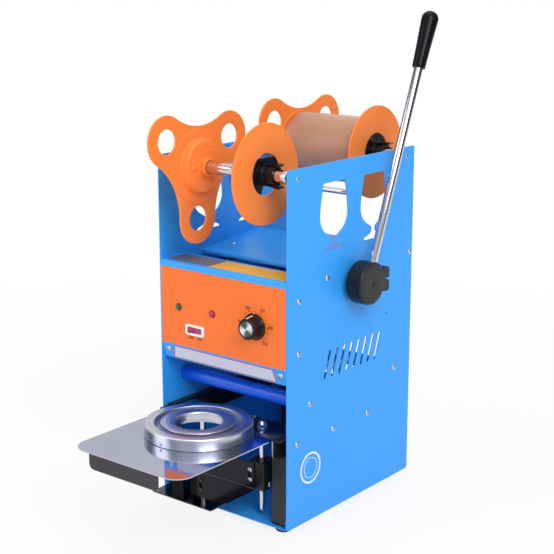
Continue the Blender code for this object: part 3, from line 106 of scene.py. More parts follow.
def linear(red, green, blue):
    """A colour given as 0 to 255 on screen, as the shader wants it."""
    shades = [value / 255 for value in (red, green, blue)]
    return tuple(shade / 12.92 if shade < 0.04045 else ((shade + 0.055) / 1.055) ** 2.4 for shade in shades)


# Materials

COAT_ROUGH = 0.12
GRAIN_DEPTH = 0.0002
RING_DEPTH = 0.0001
LIGHT_WHITE = (1, 1, 1, 1)


def added(tree, kind, values=None, **settings):
    """A new node. The settings are the node's own, and the values go on its sockets."""
    node = tree.nodes.new("ShaderNode" + kind)
    for key, value in settings.items():
        setattr(node, key, value)
    for key, value in (values or {}).items():
        node.inputs[key].default_value = value
    return node


def wire(tree, *pairs):
    """Joins pairs of sockets, each an output and the input that it feeds."""
    for source, entry in pairs:
        tree.links.new(source, entry)


def reckoned(tree, operation, *values, **settings):
    """The result of a Math node that is fed by other sockets."""
    node = added(tree, "Math", operation=operation, **settings)
    wire(tree, *zip(values, node.inputs))
    return node.outputs["Value"]


def shader_of(name, rough, metallic=0.0, coat=0.0, specular=0.5):
    """A new material and its shader, with the values that are the same all over."""
    material = bpy.data.materials.new(name)
    material.use_nodes = True
    tree = material.node_tree
    shader = tree.nodes["Principled BSDF"]
    values = {"Roughness": rough, "Metallic": metallic, "Coat Weight": coat, "Coat Roughness": COAT_ROUGH}
    for key, value in (*values.items(), ("Specular IOR Level", specular)):
        shader.inputs[key].default_value = value
    return material, tree, shader


def noise(tree, scale, detail, stretch=(1, 1, 1)):
    """A noise texture in the object's own place, stretched along its axes."""
    place = added(tree, "TexCoord")
    mapping = added(tree, "Mapping", {"Scale": stretch})
    texture = added(tree, "TexNoise", {"Scale": scale, "Detail": detail})
    for source, entry in ((place.outputs["Object"], mapping), (mapping.outputs["Vector"], texture)):
        wire(tree, (source, entry.inputs["Vector"]))
    return texture.outputs["Fac"]


def spread(tree, value, low, high, start=0.3, end=0.7, **settings):
    """Maps a value between start and end to a range."""
    values = {"From Min": start, "From Max": end, "To Min": low, "To Max": high}
    node = added(tree, "MapRange", values, **settings)
    wire(tree, (value, node.inputs["Value"]))
    return node.outputs["Result"]


def between(tree, value, first, second):
    """Mixes two colours by a value."""
    node = added(tree, "Mix", {"A": (*first, 1), "B": (*second, 1)}, data_type="RGBA")
    wire(tree, (value, node.inputs["Factor"]))
    return node.outputs["Result"]


def bump(tree, shader, height, strength, distance):
    """Gives the shader a fine relief."""
    node = added(tree, "Bump", {"Strength": strength, "Distance": distance})
    wire(tree, (height, node.inputs["Height"]), (node.outputs["Normal"], shader.inputs["Normal"]))


def from_centre(tree, centre):
    """The object's own place, measured from a centre."""
    place = added(tree, "TexCoord")
    move = added(tree, "VectorMath", {1: centre}, operation="SUBTRACT")
    wire(tree, (place.outputs["Object"], move.inputs[0]))
    return move.outputs["Vector"]


def surface(
    name, colour, rough, tint, grain, metallic=0.0, coat=0.0, tint_scale=14.0, grain_scale=900.0,
    stretch=(1, 1, 1), vary=0.06, specular=0.5,
):
    """A material with a slight drift of colour and gloss and a fine grain."""
    material, tree, shader = shader_of(name, rough, metallic, coat, specular)
    drift = spread(tree, noise(tree, tint_scale, 4.0), 0.0, 1.0)
    darker = tuple(channel * (1 - tint) for channel in colour)
    lighter = tuple(min(1.0, channel * (1 + tint * 0.5)) for channel in colour)
    fine = noise(tree, grain_scale, 2.0, stretch)
    gloss = spread(tree, fine, max(0.02, rough - vary), rough + vary)
    wire(tree, (between(tree, drift, darker, lighter), shader.inputs["Base Color"]))
    wire(tree, (gloss, shader.inputs["Roughness"]))
    bump(tree, shader, fine, grain, GRAIN_DEPTH)
    return material


def two_tone(name, first, second, scale, rough, coat):
    """A glossy plastic that drifts between two colours."""
    material, tree, shader = shader_of(name, rough, coat=coat)
    drift = spread(tree, noise(tree, scale, 1.0), 0, 1)
    wire(tree, (between(tree, drift, first, second), shader.inputs["Base Color"]))
    return material


def turned_metal(name, colour, rough, centre, axis, pitch=0.0009, relief=0.25, dark=0.86):
    """Metal with the fine rings that a lathe leaves round an axis."""
    material, tree, shader = shader_of(name, rough, 1.0)
    across = tuple(0.0 if letter == axis else 1.0 for letter in "XYZ")
    flatten = added(tree, "VectorMath", {1: across}, operation="MULTIPLY")
    length = added(tree, "VectorMath", operation="LENGTH")
    rings = added(tree, "TexNoise", {"Scale": 1 / pitch, "Detail": 3.0}, noise_dimensions="1D")
    wire(tree, (from_centre(tree, centre), flatten.inputs[0]))
    wire(tree, (flatten.outputs["Vector"], length.inputs[0]), (length.outputs["Value"], rings.inputs["W"]))
    value = rings.outputs["Fac"]
    darker = tuple(channel * dark for channel in colour)
    wire(tree, (between(tree, spread(tree, value, 0, 1), darker, colour), shader.inputs["Base Color"]))
    wire(tree, (spread(tree, value, rough * 0.75, rough * 1.35), shader.inputs["Roughness"]))
    bump(tree, shader, value, relief, RING_DEPTH)
    return material


def painted_highlight_rays(material, centre, dark, light, rays=2.0, turned_by=-0.9):
    """Paints highlight rays into a face's base colour, lighter and darker round its centre: a painted
    highlight that stands in for how light shows on a brushed cap.
    """
    tree = material.node_tree
    split = added(tree, "SeparateXYZ")
    wire(tree, (from_centre(tree, centre), split.inputs["Vector"]))
    angle = reckoned(tree, "ARCTAN2", split.outputs["Z"], split.outputs["X"])
    swept = added(tree, "Math", {1: rays, 2: turned_by}, operation="MULTIPLY_ADD")
    wire(tree, (angle, swept.inputs[0]))
    share = spread(tree, reckoned(tree, "COSINE", swept.outputs["Value"]), 0.0, 1.0, -0.6, 1.0)
    colour = tree.nodes["Principled BSDF"].inputs["Base Color"]
    wire(tree, (between(tree, share, dark, light), colour))


BLUE = surface("blue_powder_coat", linear(52, 164, 255), 0.4, 0.05, 0.08, specular=0.4, tint_scale=5)
ORANGE = surface(
    "orange_moulded_plastic", linear(255, 135, 55), 0.42, 0.05, 0.05, specular=0.4, grain_scale=600,
)
OVERLAY = surface("orange_front_film", linear(250, 118, 44), 0.34, 0.03, 0.1, specular=0.35, grain_scale=1500)
BLACK = surface(
    "black_moulded_plastic", (0.009, 0.0095, 0.011), 0.34, 0.15, 0.08, specular=0.35, grain_scale=1100,
)
GLOSS_BLACK = surface("glossy_black_plastic", (0.006, 0.006, 0.008), 0.2, 0.1, 0.03, specular=0.3, vary=0.04)
BLACK_SOFT = surface(
    "black_grip_plastic", (0.006, 0.006, 0.009), 0.22, 0.15, 0.05, grain_scale=500, specular=0.12,
)
RUBBER = surface("black_rubber", (0.014, 0.014, 0.014), 0.75, 0.2, 0.2, grain_scale=900)
CHROME = surface("bright_chrome", (0.62, 0.62, 0.69), 0.09, 0.04, 0.0, 1.0, vary=0.02)
MIRROR = surface("polished_stainless", (0.5, 0.52, 0.64), 0.07, 0.05, 0.02, 1.0, vary=0.03)
# A copy of the polished stainless with a much darker colour: a painted dark reflection for the tray lip and
# the cup rest sheet.
PAINTED_DARK_MIRROR = surface("polished_stainless_painted_dark", (0.075, 0.07, 0.078), 0.07, 0.1, 0.02, 1.0, vary=0.03)
STEEL = surface("machined_steel", (0.36, 0.36, 0.38), 0.34, 0.12, 0.1, 1.0, stretch=(1, 1, 6))
ZINC = surface("zinc_screw", (0.62, 0.63, 0.65), 0.24, 0.15, 0.05, 1.0, tint_scale=400)
BLACK_ZINC = surface("black_zinc_rail", (0.035, 0.036, 0.042), 0.36, 0.2, 0.06, 0.6)
ROLLER = surface("blue_roller_plastic", linear(8, 100, 246), 0.33, 0.05, 0.05, grain_scale=500)
WHITE = surface("white_moulded_plastic", linear(238, 240, 246), 0.3, 0.03, 0.03)
RED = surface("red_tinted_plastic", linear(190, 18, 48), 0.12, 0.2, 0.02, coat=0.4, tint_scale=160)
GREEN = surface("green_tinted_plastic", linear(14, 96, 42), 0.1, 0.2, 0.02, coat=0.4, tint_scale=160)
INK = surface("black_ink", (0.008, 0.006, 0.006), 0.6, 0.05, 0.02, specular=0.1)
RED_INK = surface("red_ink", linear(206, 30, 52), 0.4, 0.05, 0.02)
YELLOW = surface("yellow_bare_label", linear(242, 176, 36), 0.45, 0.1, 0.05, specular=0.2)
ROCKER = two_tone("red_rocker_plastic", linear(92, 26, 104), linear(222, 20, 58), 150, 0.14, 0.4)
GREY = surface("grey_bare_label", linear(112, 104, 112), 0.45, 0.15, 0.05, specular=0.2)
PALE = surface("pale_bare_label", linear(203, 206, 226), 0.3, 0.04, 0.05, coat=0.2)
PAPER = surface("wound_paper_tube", linear(224, 226, 234), 0.7, 0.08, 0.2, stretch=(6, 1, 1))
FILM = surface(
    "wound_film", linear(180, 132, 106), 0.46, 0.08, 0.05, coat=0.05, tint_scale=30, grain_scale=500,
    stretch=(9, 0.3, 0.3),
)
MOULD_METAL = turned_metal("turned_mould", (0.76, 0.78, 0.88), 0.27, MOULD_PLACE, "Z", 0.0016, 0.4, 0.6)
HEAD_METAL = turned_metal("turned_head", (0.7, 0.71, 0.73), 0.26, HEAD_PLACE, "Z")
CAP_METAL = turned_metal("turned_cap_painted_highlight", (0.6, 0.61, 0.66), 0.3, KNOB_PLACE, "Y", pitch=0.0005)
# The cap's base colour is a painted highlight: light and dark rays round the knob's middle, in place of the
# turned ring colour.
painted_highlight_rays(CAP_METAL, KNOB_PLACE, (0.1, 0.1, 0.11), (0.86, 0.87, 0.9))

# Mesh helpers

SHARP_ANGLE = 35
BEVEL_ANGLE = 32
STRAIGHT = radians(165)
CORNER_ROOM = 0.45


def mesh_of(name, bm):
    """A mesh from a drawn shape, with its faces turned outwards."""
    bmesh.ops.recalc_face_normals(bm, faces=bm.faces)
    mesh = bpy.data.meshes.new(name)
    bm.to_mesh(mesh)
    bm.free()
    return mesh


def linked(name, mesh, place):
    """An object at a place in the scene."""
    item = bpy.data.objects.new(name, mesh)
    item.location = place
    bpy.context.scene.collection.objects.link(item)
    return item


def evaluated(item):
    """The mesh that an object has with its modifiers."""
    bpy.context.view_layer.update()
    graph = bpy.context.evaluated_depsgraph_get()
    return bpy.data.meshes.new_from_object(item.evaluated_get(graph))


def smoothed(mesh, sharp=SHARP_ANGLE):
    """Shades a mesh smooth up to an angle."""
    mesh.shade_smooth()
    mesh.set_sharp_from_angle(angle=radians(sharp))


def made(name, bm, material, body, hides=None, bevel=0.0, sharp=SHARP_ANGLE, smooth=True):
    """Turns a shape drawn in the machine's frame into an object that moves with a body."""
    mesh = mesh_of(name, bm)
    mesh.materials.append(material)
    if smooth:
        smoothed(mesh, sharp)
    item = linked(name, mesh, SHIFT)
    if bevel:
        soften(item, bevel)
    bpy.context.view_layer.update()
    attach(item, body)
    if hides:
        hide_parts(hides)
    return item


def stuck_on(name, bm, material):
    """A flat label or print on the frame."""
    made(name, bm, material, "frame", smooth=False)


def soften(item, width):
    """Rounds the sharp edges of an object a little."""
    step = item.modifiers.new("softened edges", "BEVEL")
    step.width = width
    step.segments = 2
    step.limit_method = "ANGLE"
    step.angle_limit = radians(BEVEL_ANGLE)
    step.harden_normals = False


def on_plane(axis, level, point):
    """A point of a flat outline, in space."""
    spot = list(point)
    spot.insert("XYZ".index(axis), level)
    return Vector(spot)


def extruded(axis, low, high, outline, holes=()):
    """A flat outline with holes, given thickness along an axis."""
    bm = bmesh.new()
    edges = []
    for loop in [outline, *holes]:
        ring = [bm.verts.new(on_plane(axis, low, point)) for point in loop]
        edges += [bm.edges.new((ring[number - 1], ring[number])) for number in range(len(ring))]
    bmesh.ops.triangle_fill(bm, use_beauty=True, edges=edges)
    grown = bmesh.ops.extrude_face_region(bm, geom=list(bm.faces))
    moved = [item for item in grown["geom"] if isinstance(item, bmesh.types.BMVert)]
    bmesh.ops.translate(bm, verts=moved, vec=AXES[axis] * (high - low))
    return bm


def turned(axis, centre, profile, steps=96):
    """A profile of (radius, place along the axis), turned round an axis through centre."""
    along = AXES[axis]
    out = AXES["Z"] if axis != "Z" else AXES["X"]
    origin = Vector(centre) - along * Vector(centre).dot(along)
    bm = bmesh.new()
    verts = [bm.verts.new(origin + out * radius + along * place) for radius, place in profile]
    edges = [bm.edges.new(pair) for pair in zip(verts, verts[1:])]
    if profile[0][0] > 0:
        edges.append(bm.edges.new((verts[-1], verts[0])))
    bmesh.ops.spin(
        bm, geom=verts + edges, cent=origin, axis=along, angle=tau, steps=steps, use_merge=True,
    )
    bmesh.ops.remove_doubles(bm, verts=bm.verts, dist=1e-6)
    return bm


def softened(profile, radius=0.0006, steps=3):
    """Rounds a profile's corners where there is room. One that keeps off the axis is closed."""
    out = []
    count = len(profile)
    closed = profile[0][0] > 0
    for number, point in enumerate(profile):
        if not closed and number in (0, count - 1):
            out.append(point)
            continue
        here = Vector(point)
        before = Vector(profile[number - 1]) - here
        after = Vector(profile[(number + 1) % count]) - here
        reach = min(radius, before.length * CORNER_ROOM, after.length * CORNER_ROOM)
        if reach < 1e-5 or before.angle(after) > STRAIGHT:
            out.append(point)
            continue
        first = here + before.normalized() * reach
        last = here + after.normalized() * reach
        for step in range(steps + 1):
            share = step / steps
            spot = first * (1 - share) ** 2 + here * 2 * share * (1 - share) + last * share**2
            out.append(tuple(spot))
    return out


def lathed(name, axis, centre, profile, corner, steps, material, body, hides=None):
    """A turned piece with its corners rounded."""
    shape = turned(axis, centre, softened(profile, corner), steps)
    return made(name, shape, material, body, hides)


def bar(radius, low, high, inner=0):
    """The profile of a plain bar, or of a tube or ring where it has an inner radius."""
    return [(inner, low), (radius, low), (radius, high), (inner, high)]


def dome(radius, level, rise, steps):
    """The end of a profile that closes in a dome, from beside its rim to the axis."""
    turns = [pi / 2 * number / steps for number in range(1, steps)]
    return [*((radius * cos(turn), level + rise * sin(turn)) for turn in turns), (0, level + rise)]


def joined(first, *others):
    """Puts several shapes in one mesh."""
    for other in others:
        spare = bpy.data.meshes.new("spare")
        other.to_mesh(spare)
        other.free()
        first.from_mesh(spare)
        bpy.data.meshes.remove(spare)
    return first


def block(low, high, bevel=0.0, segments=2):
    """A box between two corners with softened edges."""
    bm = bmesh.new()
    bmesh.ops.create_cube(bm, size=1)
    bmesh.ops.scale(bm, vec=Vector(high) - Vector(low), verts=bm.verts)
    bmesh.ops.translate(bm, vec=(Vector(high) + Vector(low)) / 2, verts=bm.verts)
    if bevel:
        edges = list(bm.edges)
        bmesh.ops.bevel(bm, geom=edges, offset=bevel, segments=segments, profile=0.5, affect="EDGES")
    return bm


def spot_round(centre, radius, turn):
    """A point at a distance and an angle from a centre."""
    return (centre[0] + radius * cos(turn), centre[1] + radius * sin(turn))


def arc(centre, radius, start, end, steps):
    """Points of an arc, both ends included."""
    return [spot_round(centre, radius, start + (end - start) * step / steps) for step in range(steps + 1)]


def circle(centre, radius, steps=64):
    """Points of a circle."""
    return arc(centre, radius, 0.0, tau, steps)[:-1]


def rounded_box(low, high, radius, steps=6):
    """Outline of a rectangle with round corners."""
    corners = (
        ((high[0] - radius, high[1] - radius), 0.0),
        ((low[0] + radius, high[1] - radius), pi / 2),
        ((low[0] + radius, low[1] + radius), pi),
        ((high[0] - radius, low[1] + radius), 3 * pi / 2),
    )
    return [point for centre, turn in corners for point in arc(centre, radius, turn, turn + pi / 2, steps)]


def tapered_box(low_half, high_half, low, high):
    """Outline with level edges, its middle at 0, as wide below and above as its two halves say."""
    return [(-low_half, low), (low_half, low), (high_half, high), (-high_half, high)]


def cut(item, *shapes, sharp=SHARP_ANGLE):
    """Cuts shapes out of an object once, for good."""
    for shape in shapes:
        tool = linked("cutter", mesh_of("cutter", shape), item.location)
        step = item.modifiers.new("cut", "BOOLEAN")
        step.operation = "DIFFERENCE"
        step.solver = "EXACT"
        step.object = tool
        done = evaluated(item)
        item.modifiers.clear()
        item.data = done
        bpy.data.objects.remove(tool)
    smoothed(item.data, sharp)


def dress(material, *names, bevel):
    """Gives CAD nodes that stay their finish and softer edges."""
    for name in names:
        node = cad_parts[name]
        node.data.materials.clear()
        node.data.materials.append(material)
        soften(node, bevel)


# Screws

HEAD_RADIUS = 0.0034
HEAD_HEIGHT = 0.0019
HEAD_EDGE = 0.0005
SHANK_RADIUS = 0.0016
SHANK_LENGTH = 0.0012
CROSS_REACH = 0.0019
CROSS_HALF = 0.00042
CROSS_DEPTH = 0.0012


def screw_mesh():
    """A pan head with a cross recess, which points along +Z from its seat at the origin."""
    profile = [(0, -SHANK_LENGTH), (SHANK_RADIUS, -SHANK_LENGTH), (SHANK_RADIUS, 0.0), (HEAD_RADIUS, 0.0)]
    profile += [(HEAD_RADIUS, HEAD_EDGE), *dome(HEAD_RADIUS, HEAD_EDGE, HEAD_HEIGHT - HEAD_EDGE, 5)]
    mesh = mesh_of("pan_head_screw", turned("Z", (0, 0, 0), profile, 32))
    mesh.materials.append(ZINC)
    base = linked("pan_head_base", mesh, (0, 0, 0))
    slots = [
        block((-across, -along, HEAD_HEIGHT - CROSS_DEPTH), (across, along, HEAD_HEIGHT + 0.001))
        for across, along in ((CROSS_REACH, CROSS_HALF), (CROSS_HALF, CROSS_REACH))
    ]
    cut(base, *slots, sharp=32)
    done = base.data
    bpy.data.objects.remove(base)
    return done


SCREW = screw_mesh()
ORANGE_SCREW = SCREW.copy()
ORANGE_SCREW.materials.clear()
ORANGE_SCREW.materials.append(ORANGE)


def screw(name, place, direction, body, size=1.0, twist=0.4, mesh=SCREW):
    """A screw head seated at a place, facing a direction."""
    item = linked(name, mesh, (0, 0, 0))
    facing = Vector(direction).to_track_quat("Z", "Y").to_matrix()
    turn = facing @ Matrix.Rotation(twist, 3, "Z")
    item.matrix_world = Matrix.Translation(SHIFT + Vector(place)) @ turn.to_4x4() @ Matrix.Scale(size, 4)
    bpy.context.view_layer.update()
    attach(item, body)


# Body shell

WINDOW_YS = (0.0985, 0.1885)
GLASS_FOOT = (
    (0.0235, 0.364), (0.0235, 0.3655), (0.0215, 0.3675), (0.015, 0.3695), (0.0085, 0.3715),
    (0.0055, 0.3735), (0.0045, 0.376), (0.0045, 0.3795), (0.006, 0.3822), (0.011, 0.3848),
)
GLASS_NECK = 0.0145
GLASS_BOWL = 0.0305
GLASS_BOWL_Z = 0.411
GLASS_BOWL_DEPTH = 0.0275
GLASS_RIM = 0.0235
GLASS_RIM_Z = 0.454
VENT_COUNT = 8
VENT_START = 0.0802
VENT_STEP = 0.0166
VENT_LEAN = 0.0133
VENT_LOW_Z = 0.1905
VENT_HIGH_Z = 0.2285
VENT_RADIUS = 0.0025
LEVER_HOLE = 0.0113
PIN_HOLE = 0.0016
PIN_HOLE_PLACE = (0.2246, 0.2509)


def glass_window(y):
    """A wine-glass outline: foot, stem, round bowl and a narrower rim."""
    half = list(GLASS_FOOT)
    start = acos(GLASS_NECK / GLASS_BOWL)
    for number in range(17):
        turn = start * (1 - number / 16)
        half.append((GLASS_BOWL * cos(turn), GLASS_BOWL_Z - GLASS_BOWL_DEPTH * sin(turn)))
    for number in range(1, 9):
        share = number / 8
        z = GLASS_BOWL_Z + (GLASS_RIM_Z - GLASS_BOWL_Z) * share
        half.append((GLASS_BOWL + (GLASS_RIM - GLASS_BOWL) * share**1.5, z))
    return [(y + a, z) for a, z in half] + [(y - a, z) for a, z in reversed(half)]


def vent_slot(y):
    """A leaning slot with round ends."""
    low = Vector((y, VENT_LOW_Z))
    high = Vector((y + VENT_LEAN, VENT_HIGH_Z))
    lean = atan2(high.y - low.y, high.x - low.x)
    along = (high - low).normalized() * VENT_RADIUS
    top = arc(high - along, VENT_RADIUS, lean - pi / 2, lean + pi / 2, 8)
    return top + arc(low + along, VENT_RADIUS, lean + pi / 2, lean + 3 * pi / 2, 8)


def side_panel(hand, low, high):
    """A side panel with fine window outlines."""
    holes = [glass_window(y) for y in WINDOW_YS]
    holes += [vent_slot(VENT_START + VENT_STEP * number) for number in range(VENT_COUNT)]
    holes += [circle((LEVER_Y, LEVER_Z), LEVER_HOLE), circle(PIN_HOLE_PLACE, PIN_HOLE, 20)]
    sheet = extruded("X", low, high, rounded_box((0, 0), (DEPTH, PANEL_TOP), 0.004), holes)
    made(f"{hand}_panel_sheet", sheet, BLUE, "frame", f"{hand}_side_panel", bevel=0.0003)


side_panel("right", HALF_WIDTH - SHEET, HALF_WIDTH)
side_panel("left", -HALF_WIDTH, SHEET - HALF_WIDTH)
dress(BLUE, "base_pan", "rear_panel", "control_panel", "deck_cover", bevel=0.0003)

SIDE_SCREWS = (
    (0.024, 0.3088), (0.0234, 0.2391), (0.0846, 0.3283), (0.2799, 0.3294), (0.2069, 0.2963),
    (0.0485, 0.1652), (0.2454, 0.1658), (0.021, 0.1159), (0.1004, 0.1155), (0.1817, 0.1155),
)
for number, (y, z) in enumerate(SIDE_SCREWS):
    for hand, side in reversed(HANDS):
        place = (side * HALF_WIDTH, y, z)
        screw(f"{hand}_panel_screw_{number + 1}", place, (side, 0, 0), "frame", 1.2, 0.3 + 0.9 * number)
for hand, side in reversed(HANDS):
    for end, y in REEL_ENDS:
        place = (side * HALF_WIDTH, y, REEL_Z - 0.0012)
        screw(f"{hand}_bearing_screw_{end}", place, (side, 0, 0), "frame", 0.8)

# The tie rod, feet and cable gland
TIE_PLACE = (0, 0.146, 0.432)
lathed(
    "tie_rod_bar", "X", TIE_PLACE, bar(0.004, -SPAN, SPAN), 0.0004, 48, CHROME, "frame", "tie_rod",
)
FOOT_X = 0.0851
FOOT_PROFILE = [
    (0, -0.0003), (0.0108, -0.0003), (0.012, -0.002), (0.0112, -0.0105), (0.0098, -0.012), (0, -0.012),
]
for end, y in (("front", 0.025), ("rear", 0.2614)):
    for hand, side in HANDS:
        lathed(
            f"rubber_foot_{end}_{hand}", "Z", (side * FOOT_X, y, 0), FOOT_PROFILE, 0.0007, 48, RUBBER,
            "frame", f"foot_{end}_{hand}",
        )
GLAND_PROFILE = [
    (0.0035, 0.2809), (0.006, 0.2809), (0.006, 0.2867), (0.0095, 0.2867), (0.0095, 0.2897), (0.0062, 0.2927),
    (0.0055, 0.3044), (0.0035, 0.3044),
]
lathed(
    "cord_gland", "Y", (-0.07, 0, 0.04), GLAND_PROFILE, 0.0005, 48, RUBBER, "frame", "cable_gland",
)

# Front overlay and labels

OVERLAY_Y = -0.00025
LABEL = 0.0002
STRIP_TILT = atan2(0.005, 0.022)
STRIP_FOLD_Z = 0.221
STRIP_FRONT = -0.0003
STRIP_BACK = -0.0001
overlay_holes = [circle((KNOB_X, KNOB_Z), 0.005)]
overlay_holes += [circle((lamp_x, LAMP_Z), 0.0039) for lamp_x in LAMP_XS.values()]
overlay_holes.append(rounded_box((-0.0609, 0.2419), (-0.0321, 0.2541), 0.0005, 3))
overlay_edge = rounded_box((-0.1078, 0.2222), (0.1078, 0.3292), 0.0012)
made("front_overlay", extruded("Y", OVERLAY_Y, 0.0, overlay_edge, overlay_holes), OVERLAY, "frame")


def on_strip(bm):
    """Leans a shape drawn flat at the front back to the slanted strip under the overlay."""
    fold = Matrix.Translation((0, 0, STRIP_FOLD_Z))
    bm.transform(fold @ Matrix.Rotation(STRIP_TILT, 4, "X") @ fold.inverted())
    return bm


strip_frame = tapered_box(0.0905, 0.0865, 0.2012, 0.2196)
strip_inner = tapered_box(0.0888, 0.0852, 0.2022, 0.2186)
strip_border = on_strip(extruded("Y", STRIP_FRONT, STRIP_BACK, strip_frame, [strip_inner]))
stuck_on("lower_label_border", strip_border, RED_INK)
stuck_on("lower_label", on_strip(extruded("Y", STRIP_FRONT + 0.00005, STRIP_BACK, strip_frame)), PALE)
for hand, side in HANDS:
    place = Matrix.Rotation(STRIP_TILT, 4, "X") @ Vector((0, 0, -0.0085))
    spot = (side * 0.098, place.y, STRIP_FOLD_Z + place.z)
    screw(f"strip_screw_{hand}", spot, (0, -1, -0.22), "frame", 1.2, 0.2)

SHELF_TOP = 0.3375
SHELF_LABEL_YS = (0.007, 0.045)
for name, left, right, material in (("yellow", -0.028, 0.1, YELLOW), ("grey", -0.104, -0.0285, GREY)):
    front, rear = SHELF_LABEL_YS
    edge = [(left, front), (right, front), (right, rear), (left, rear)]
    stuck_on(f"shelf_label_{name}", extruded("Z", SHELF_TOP, SHELF_TOP + LABEL, edge), material)

# Dial scale round the knob
DIAL_RADIUS = 0.0203
DIAL_LOW = radians(230)
DIAL_SWEEP = radians(280)
DIAL_MIDDLE = Vector((KNOB_X, KNOB_Z))
TICK_COUNT = 25
LONG_TICK = (0.0024, 0.00042)
SHORT_TICK = (0.0013, 0.00026)
NUMBER_COUNT = 5
NUMBER_STEP = 50


def dial_spoke(share):
    """The direction of a place on the dial, from its low end to its high end."""
    turn = DIAL_LOW - DIAL_SWEEP * share
    return Vector((cos(turn), sin(turn)))


ticks = bmesh.new()
for number in range(TICK_COUNT + 1):
    reach, half = LONG_TICK if number % 5 == 0 else SHORT_TICK
    spoke = dial_spoke(number / TICK_COUNT)
    across = Vector((-spoke.y, spoke.x)) * half
    inner = DIAL_MIDDLE + spoke * DIAL_RADIUS
    outer = inner + spoke * reach
    corners = [tuple(spot) for spot in (inner - across, outer - across, outer + across, inner + across)]
    ticks = joined(ticks, extruded("Y", OVERLAY_Y - 0.00012, OVERLAY_Y - 0.00001, corners))
stuck_on("dial_ticks", ticks, INK)


def printed(name, words, x, z, size):
    """Plain numbers or a switch mark printed on the overlay."""
    curve = bpy.data.curves.new(name, "FONT")
    curve.body = words
    curve.size = size
    curve.align_x = "CENTER"
    curve.align_y = "CENTER"
    curve.extrude = 0.00005
    text = linked(name, curve, (0, 0, 0))
    mesh = evaluated(text)
    bpy.data.objects.remove(text)
    mesh.transform(Matrix.Translation((x, OVERLAY_Y - 0.0001, z)) @ Matrix.Rotation(pi / 2, 4, "X"))
    mesh.materials.clear()
    mesh.materials.append(INK)
    item = linked(name, mesh, SHIFT)
    bpy.context.view_layer.update()
    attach(item, "frame")


for number in range(NUMBER_COUNT + 1):
    spot = DIAL_MIDDLE + dial_spoke(number / NUMBER_COUNT) * (DIAL_RADIUS + 0.006)
    printed(f"dial_number_{number}", str(NUMBER_STEP * number), spot.x, spot.y, 0.0058)
printed("switch_mark_on", "ON", -0.0545, 0.2362, 0.0052)
printed("switch_mark_off", "OFF", -0.0385, 0.2362, 0.0052)

# Lamps
LENS_RADIUS = 0.0041
LENS_LEVEL = -0.0018
for name, material in (("green", GREEN), ("red", RED)):
    place = (LAMP_XS[name], 0, LAMP_Z)
    lens = [(0, 0.012), (0.0035, 0.012), (0.0035, -0.0008), (LENS_RADIUS, -0.0008), (LENS_RADIUS, LENS_LEVEL)]
    lens_shape = turned("Y", place, lens + dome(LENS_RADIUS, LENS_LEVEL, -0.0022, 6), 48)
    made(f"{name}_lamp_lens", lens_shape, material, "frame", f"{name}_lamp")
    ring = [(0.0042, OVERLAY_Y), (0.005, OVERLAY_Y), (0.0049, -0.0012), (0.0042, -0.0014)]
    lathed(f"{name}_lamp_ring", "Y", place, ring, 0.0003, 48, BLACK, "frame")

# Power switch
ROCKER_WINDOW = (0.025, 0.0085)
ROCKER_END = 0.0109
ROCKER_BACK = 0.0055
ROCKER_HALF = 0.0039


def switch_box(width, height, corner, steps=6):
    """Outline of a rectangle about the middle of the switch."""
    low = (SWITCH_X - width / 2, SWITCH_Z - height / 2)
    high = (SWITCH_X + width / 2, SWITCH_Z + height / 2)
    return rounded_box(low, high, corner, steps)


def switch_frame(width, height, front, back, corner):
    """A rectangular ring round the rocker."""
    hole = switch_box(*ROCKER_WINDOW, 0.0005, 3)
    return extruded("Y", front, back, switch_box(width, height, corner), [hole])


bezel = switch_frame(0.032, 0.0145, -0.0025, -0.0003, 0.0016)
sleeve = switch_frame(0.0279, 0.0114, -0.0003, 0.014, 0.0008)
made("switch_bezel", joined(bezel, sleeve), WHITE, "frame", "switch_housing", bevel=0.0005)
tilt = Matrix.Rotation(radians(8), 2)
rocker_path = []
for number in range(13):
    across = -ROCKER_END + 2 * ROCKER_END * number / 12
    rocker_path.append((across, -0.0075 + 0.0022 * (1 - (across / ROCKER_END) ** 2)))
rocker_path += [(ROCKER_END, -0.002), (ROCKER_BACK, 0.002), (-ROCKER_BACK, 0.002), (-ROCKER_END, -0.002)]
swung = [tilt @ Vector(point) for point in rocker_path]
rocker_outline = [(SWITCH_X + point.x, 0.004 + point.y) for point in swung]
rocker = extruded("Z", SWITCH_Z - ROCKER_HALF, SWITCH_Z + ROCKER_HALF, rocker_outline)
made("rocker_button", rocker, ROCKER, "power_rocker", "power_rocker", bevel=0.0005)

# Temperature knob: skirt, fluted grip, spun cap and pointer
FLUTES = 24
FLUTE_DEPTH = 0.035
POINTER_HALF = 0.0008
skirt_profile = [
    (0, 0.012), (0.003, 0.012), (0.003, -0.0004), (0.018, -0.0004), (0.018, -0.0018), (0.017, -0.003),
    (0.0156, -0.004), (0.014, -0.0165), (0.0128, -0.0178), (0.011, -0.0178), (0.0108, -0.0172),
    (0, -0.0172),
]
knob_shape = turned("Y", KNOB_PLACE, softened(skirt_profile, 0.0004), 144)
for vertex in knob_shape.verts:
    around = Vector((vertex.co.x - KNOB_X, vertex.co.z - KNOB_Z))
    if vertex.co.y < -0.0045 and around.length > 0.0120:
        turn = atan2(around.y, around.x)
        around *= 1 - FLUTE_DEPTH * (0.5 + 0.5 * cos(FLUTES * turn)) ** 3
        vertex.co.x = KNOB_X + around.x
        vertex.co.z = KNOB_Z + around.y
made("knob_grip", knob_shape, GLOSS_BLACK, "temperature_knob", "temperature_knob")
cap_profile = [(0, -0.0171), (0.0106, -0.0171), (0.0106, -0.0177), (0.01, -0.018), (0, -0.018)]
lathed(
    "knob_cap", "Y", KNOB_PLACE, cap_profile, 0.0002, 96, CAP_METAL, "temperature_knob",
)
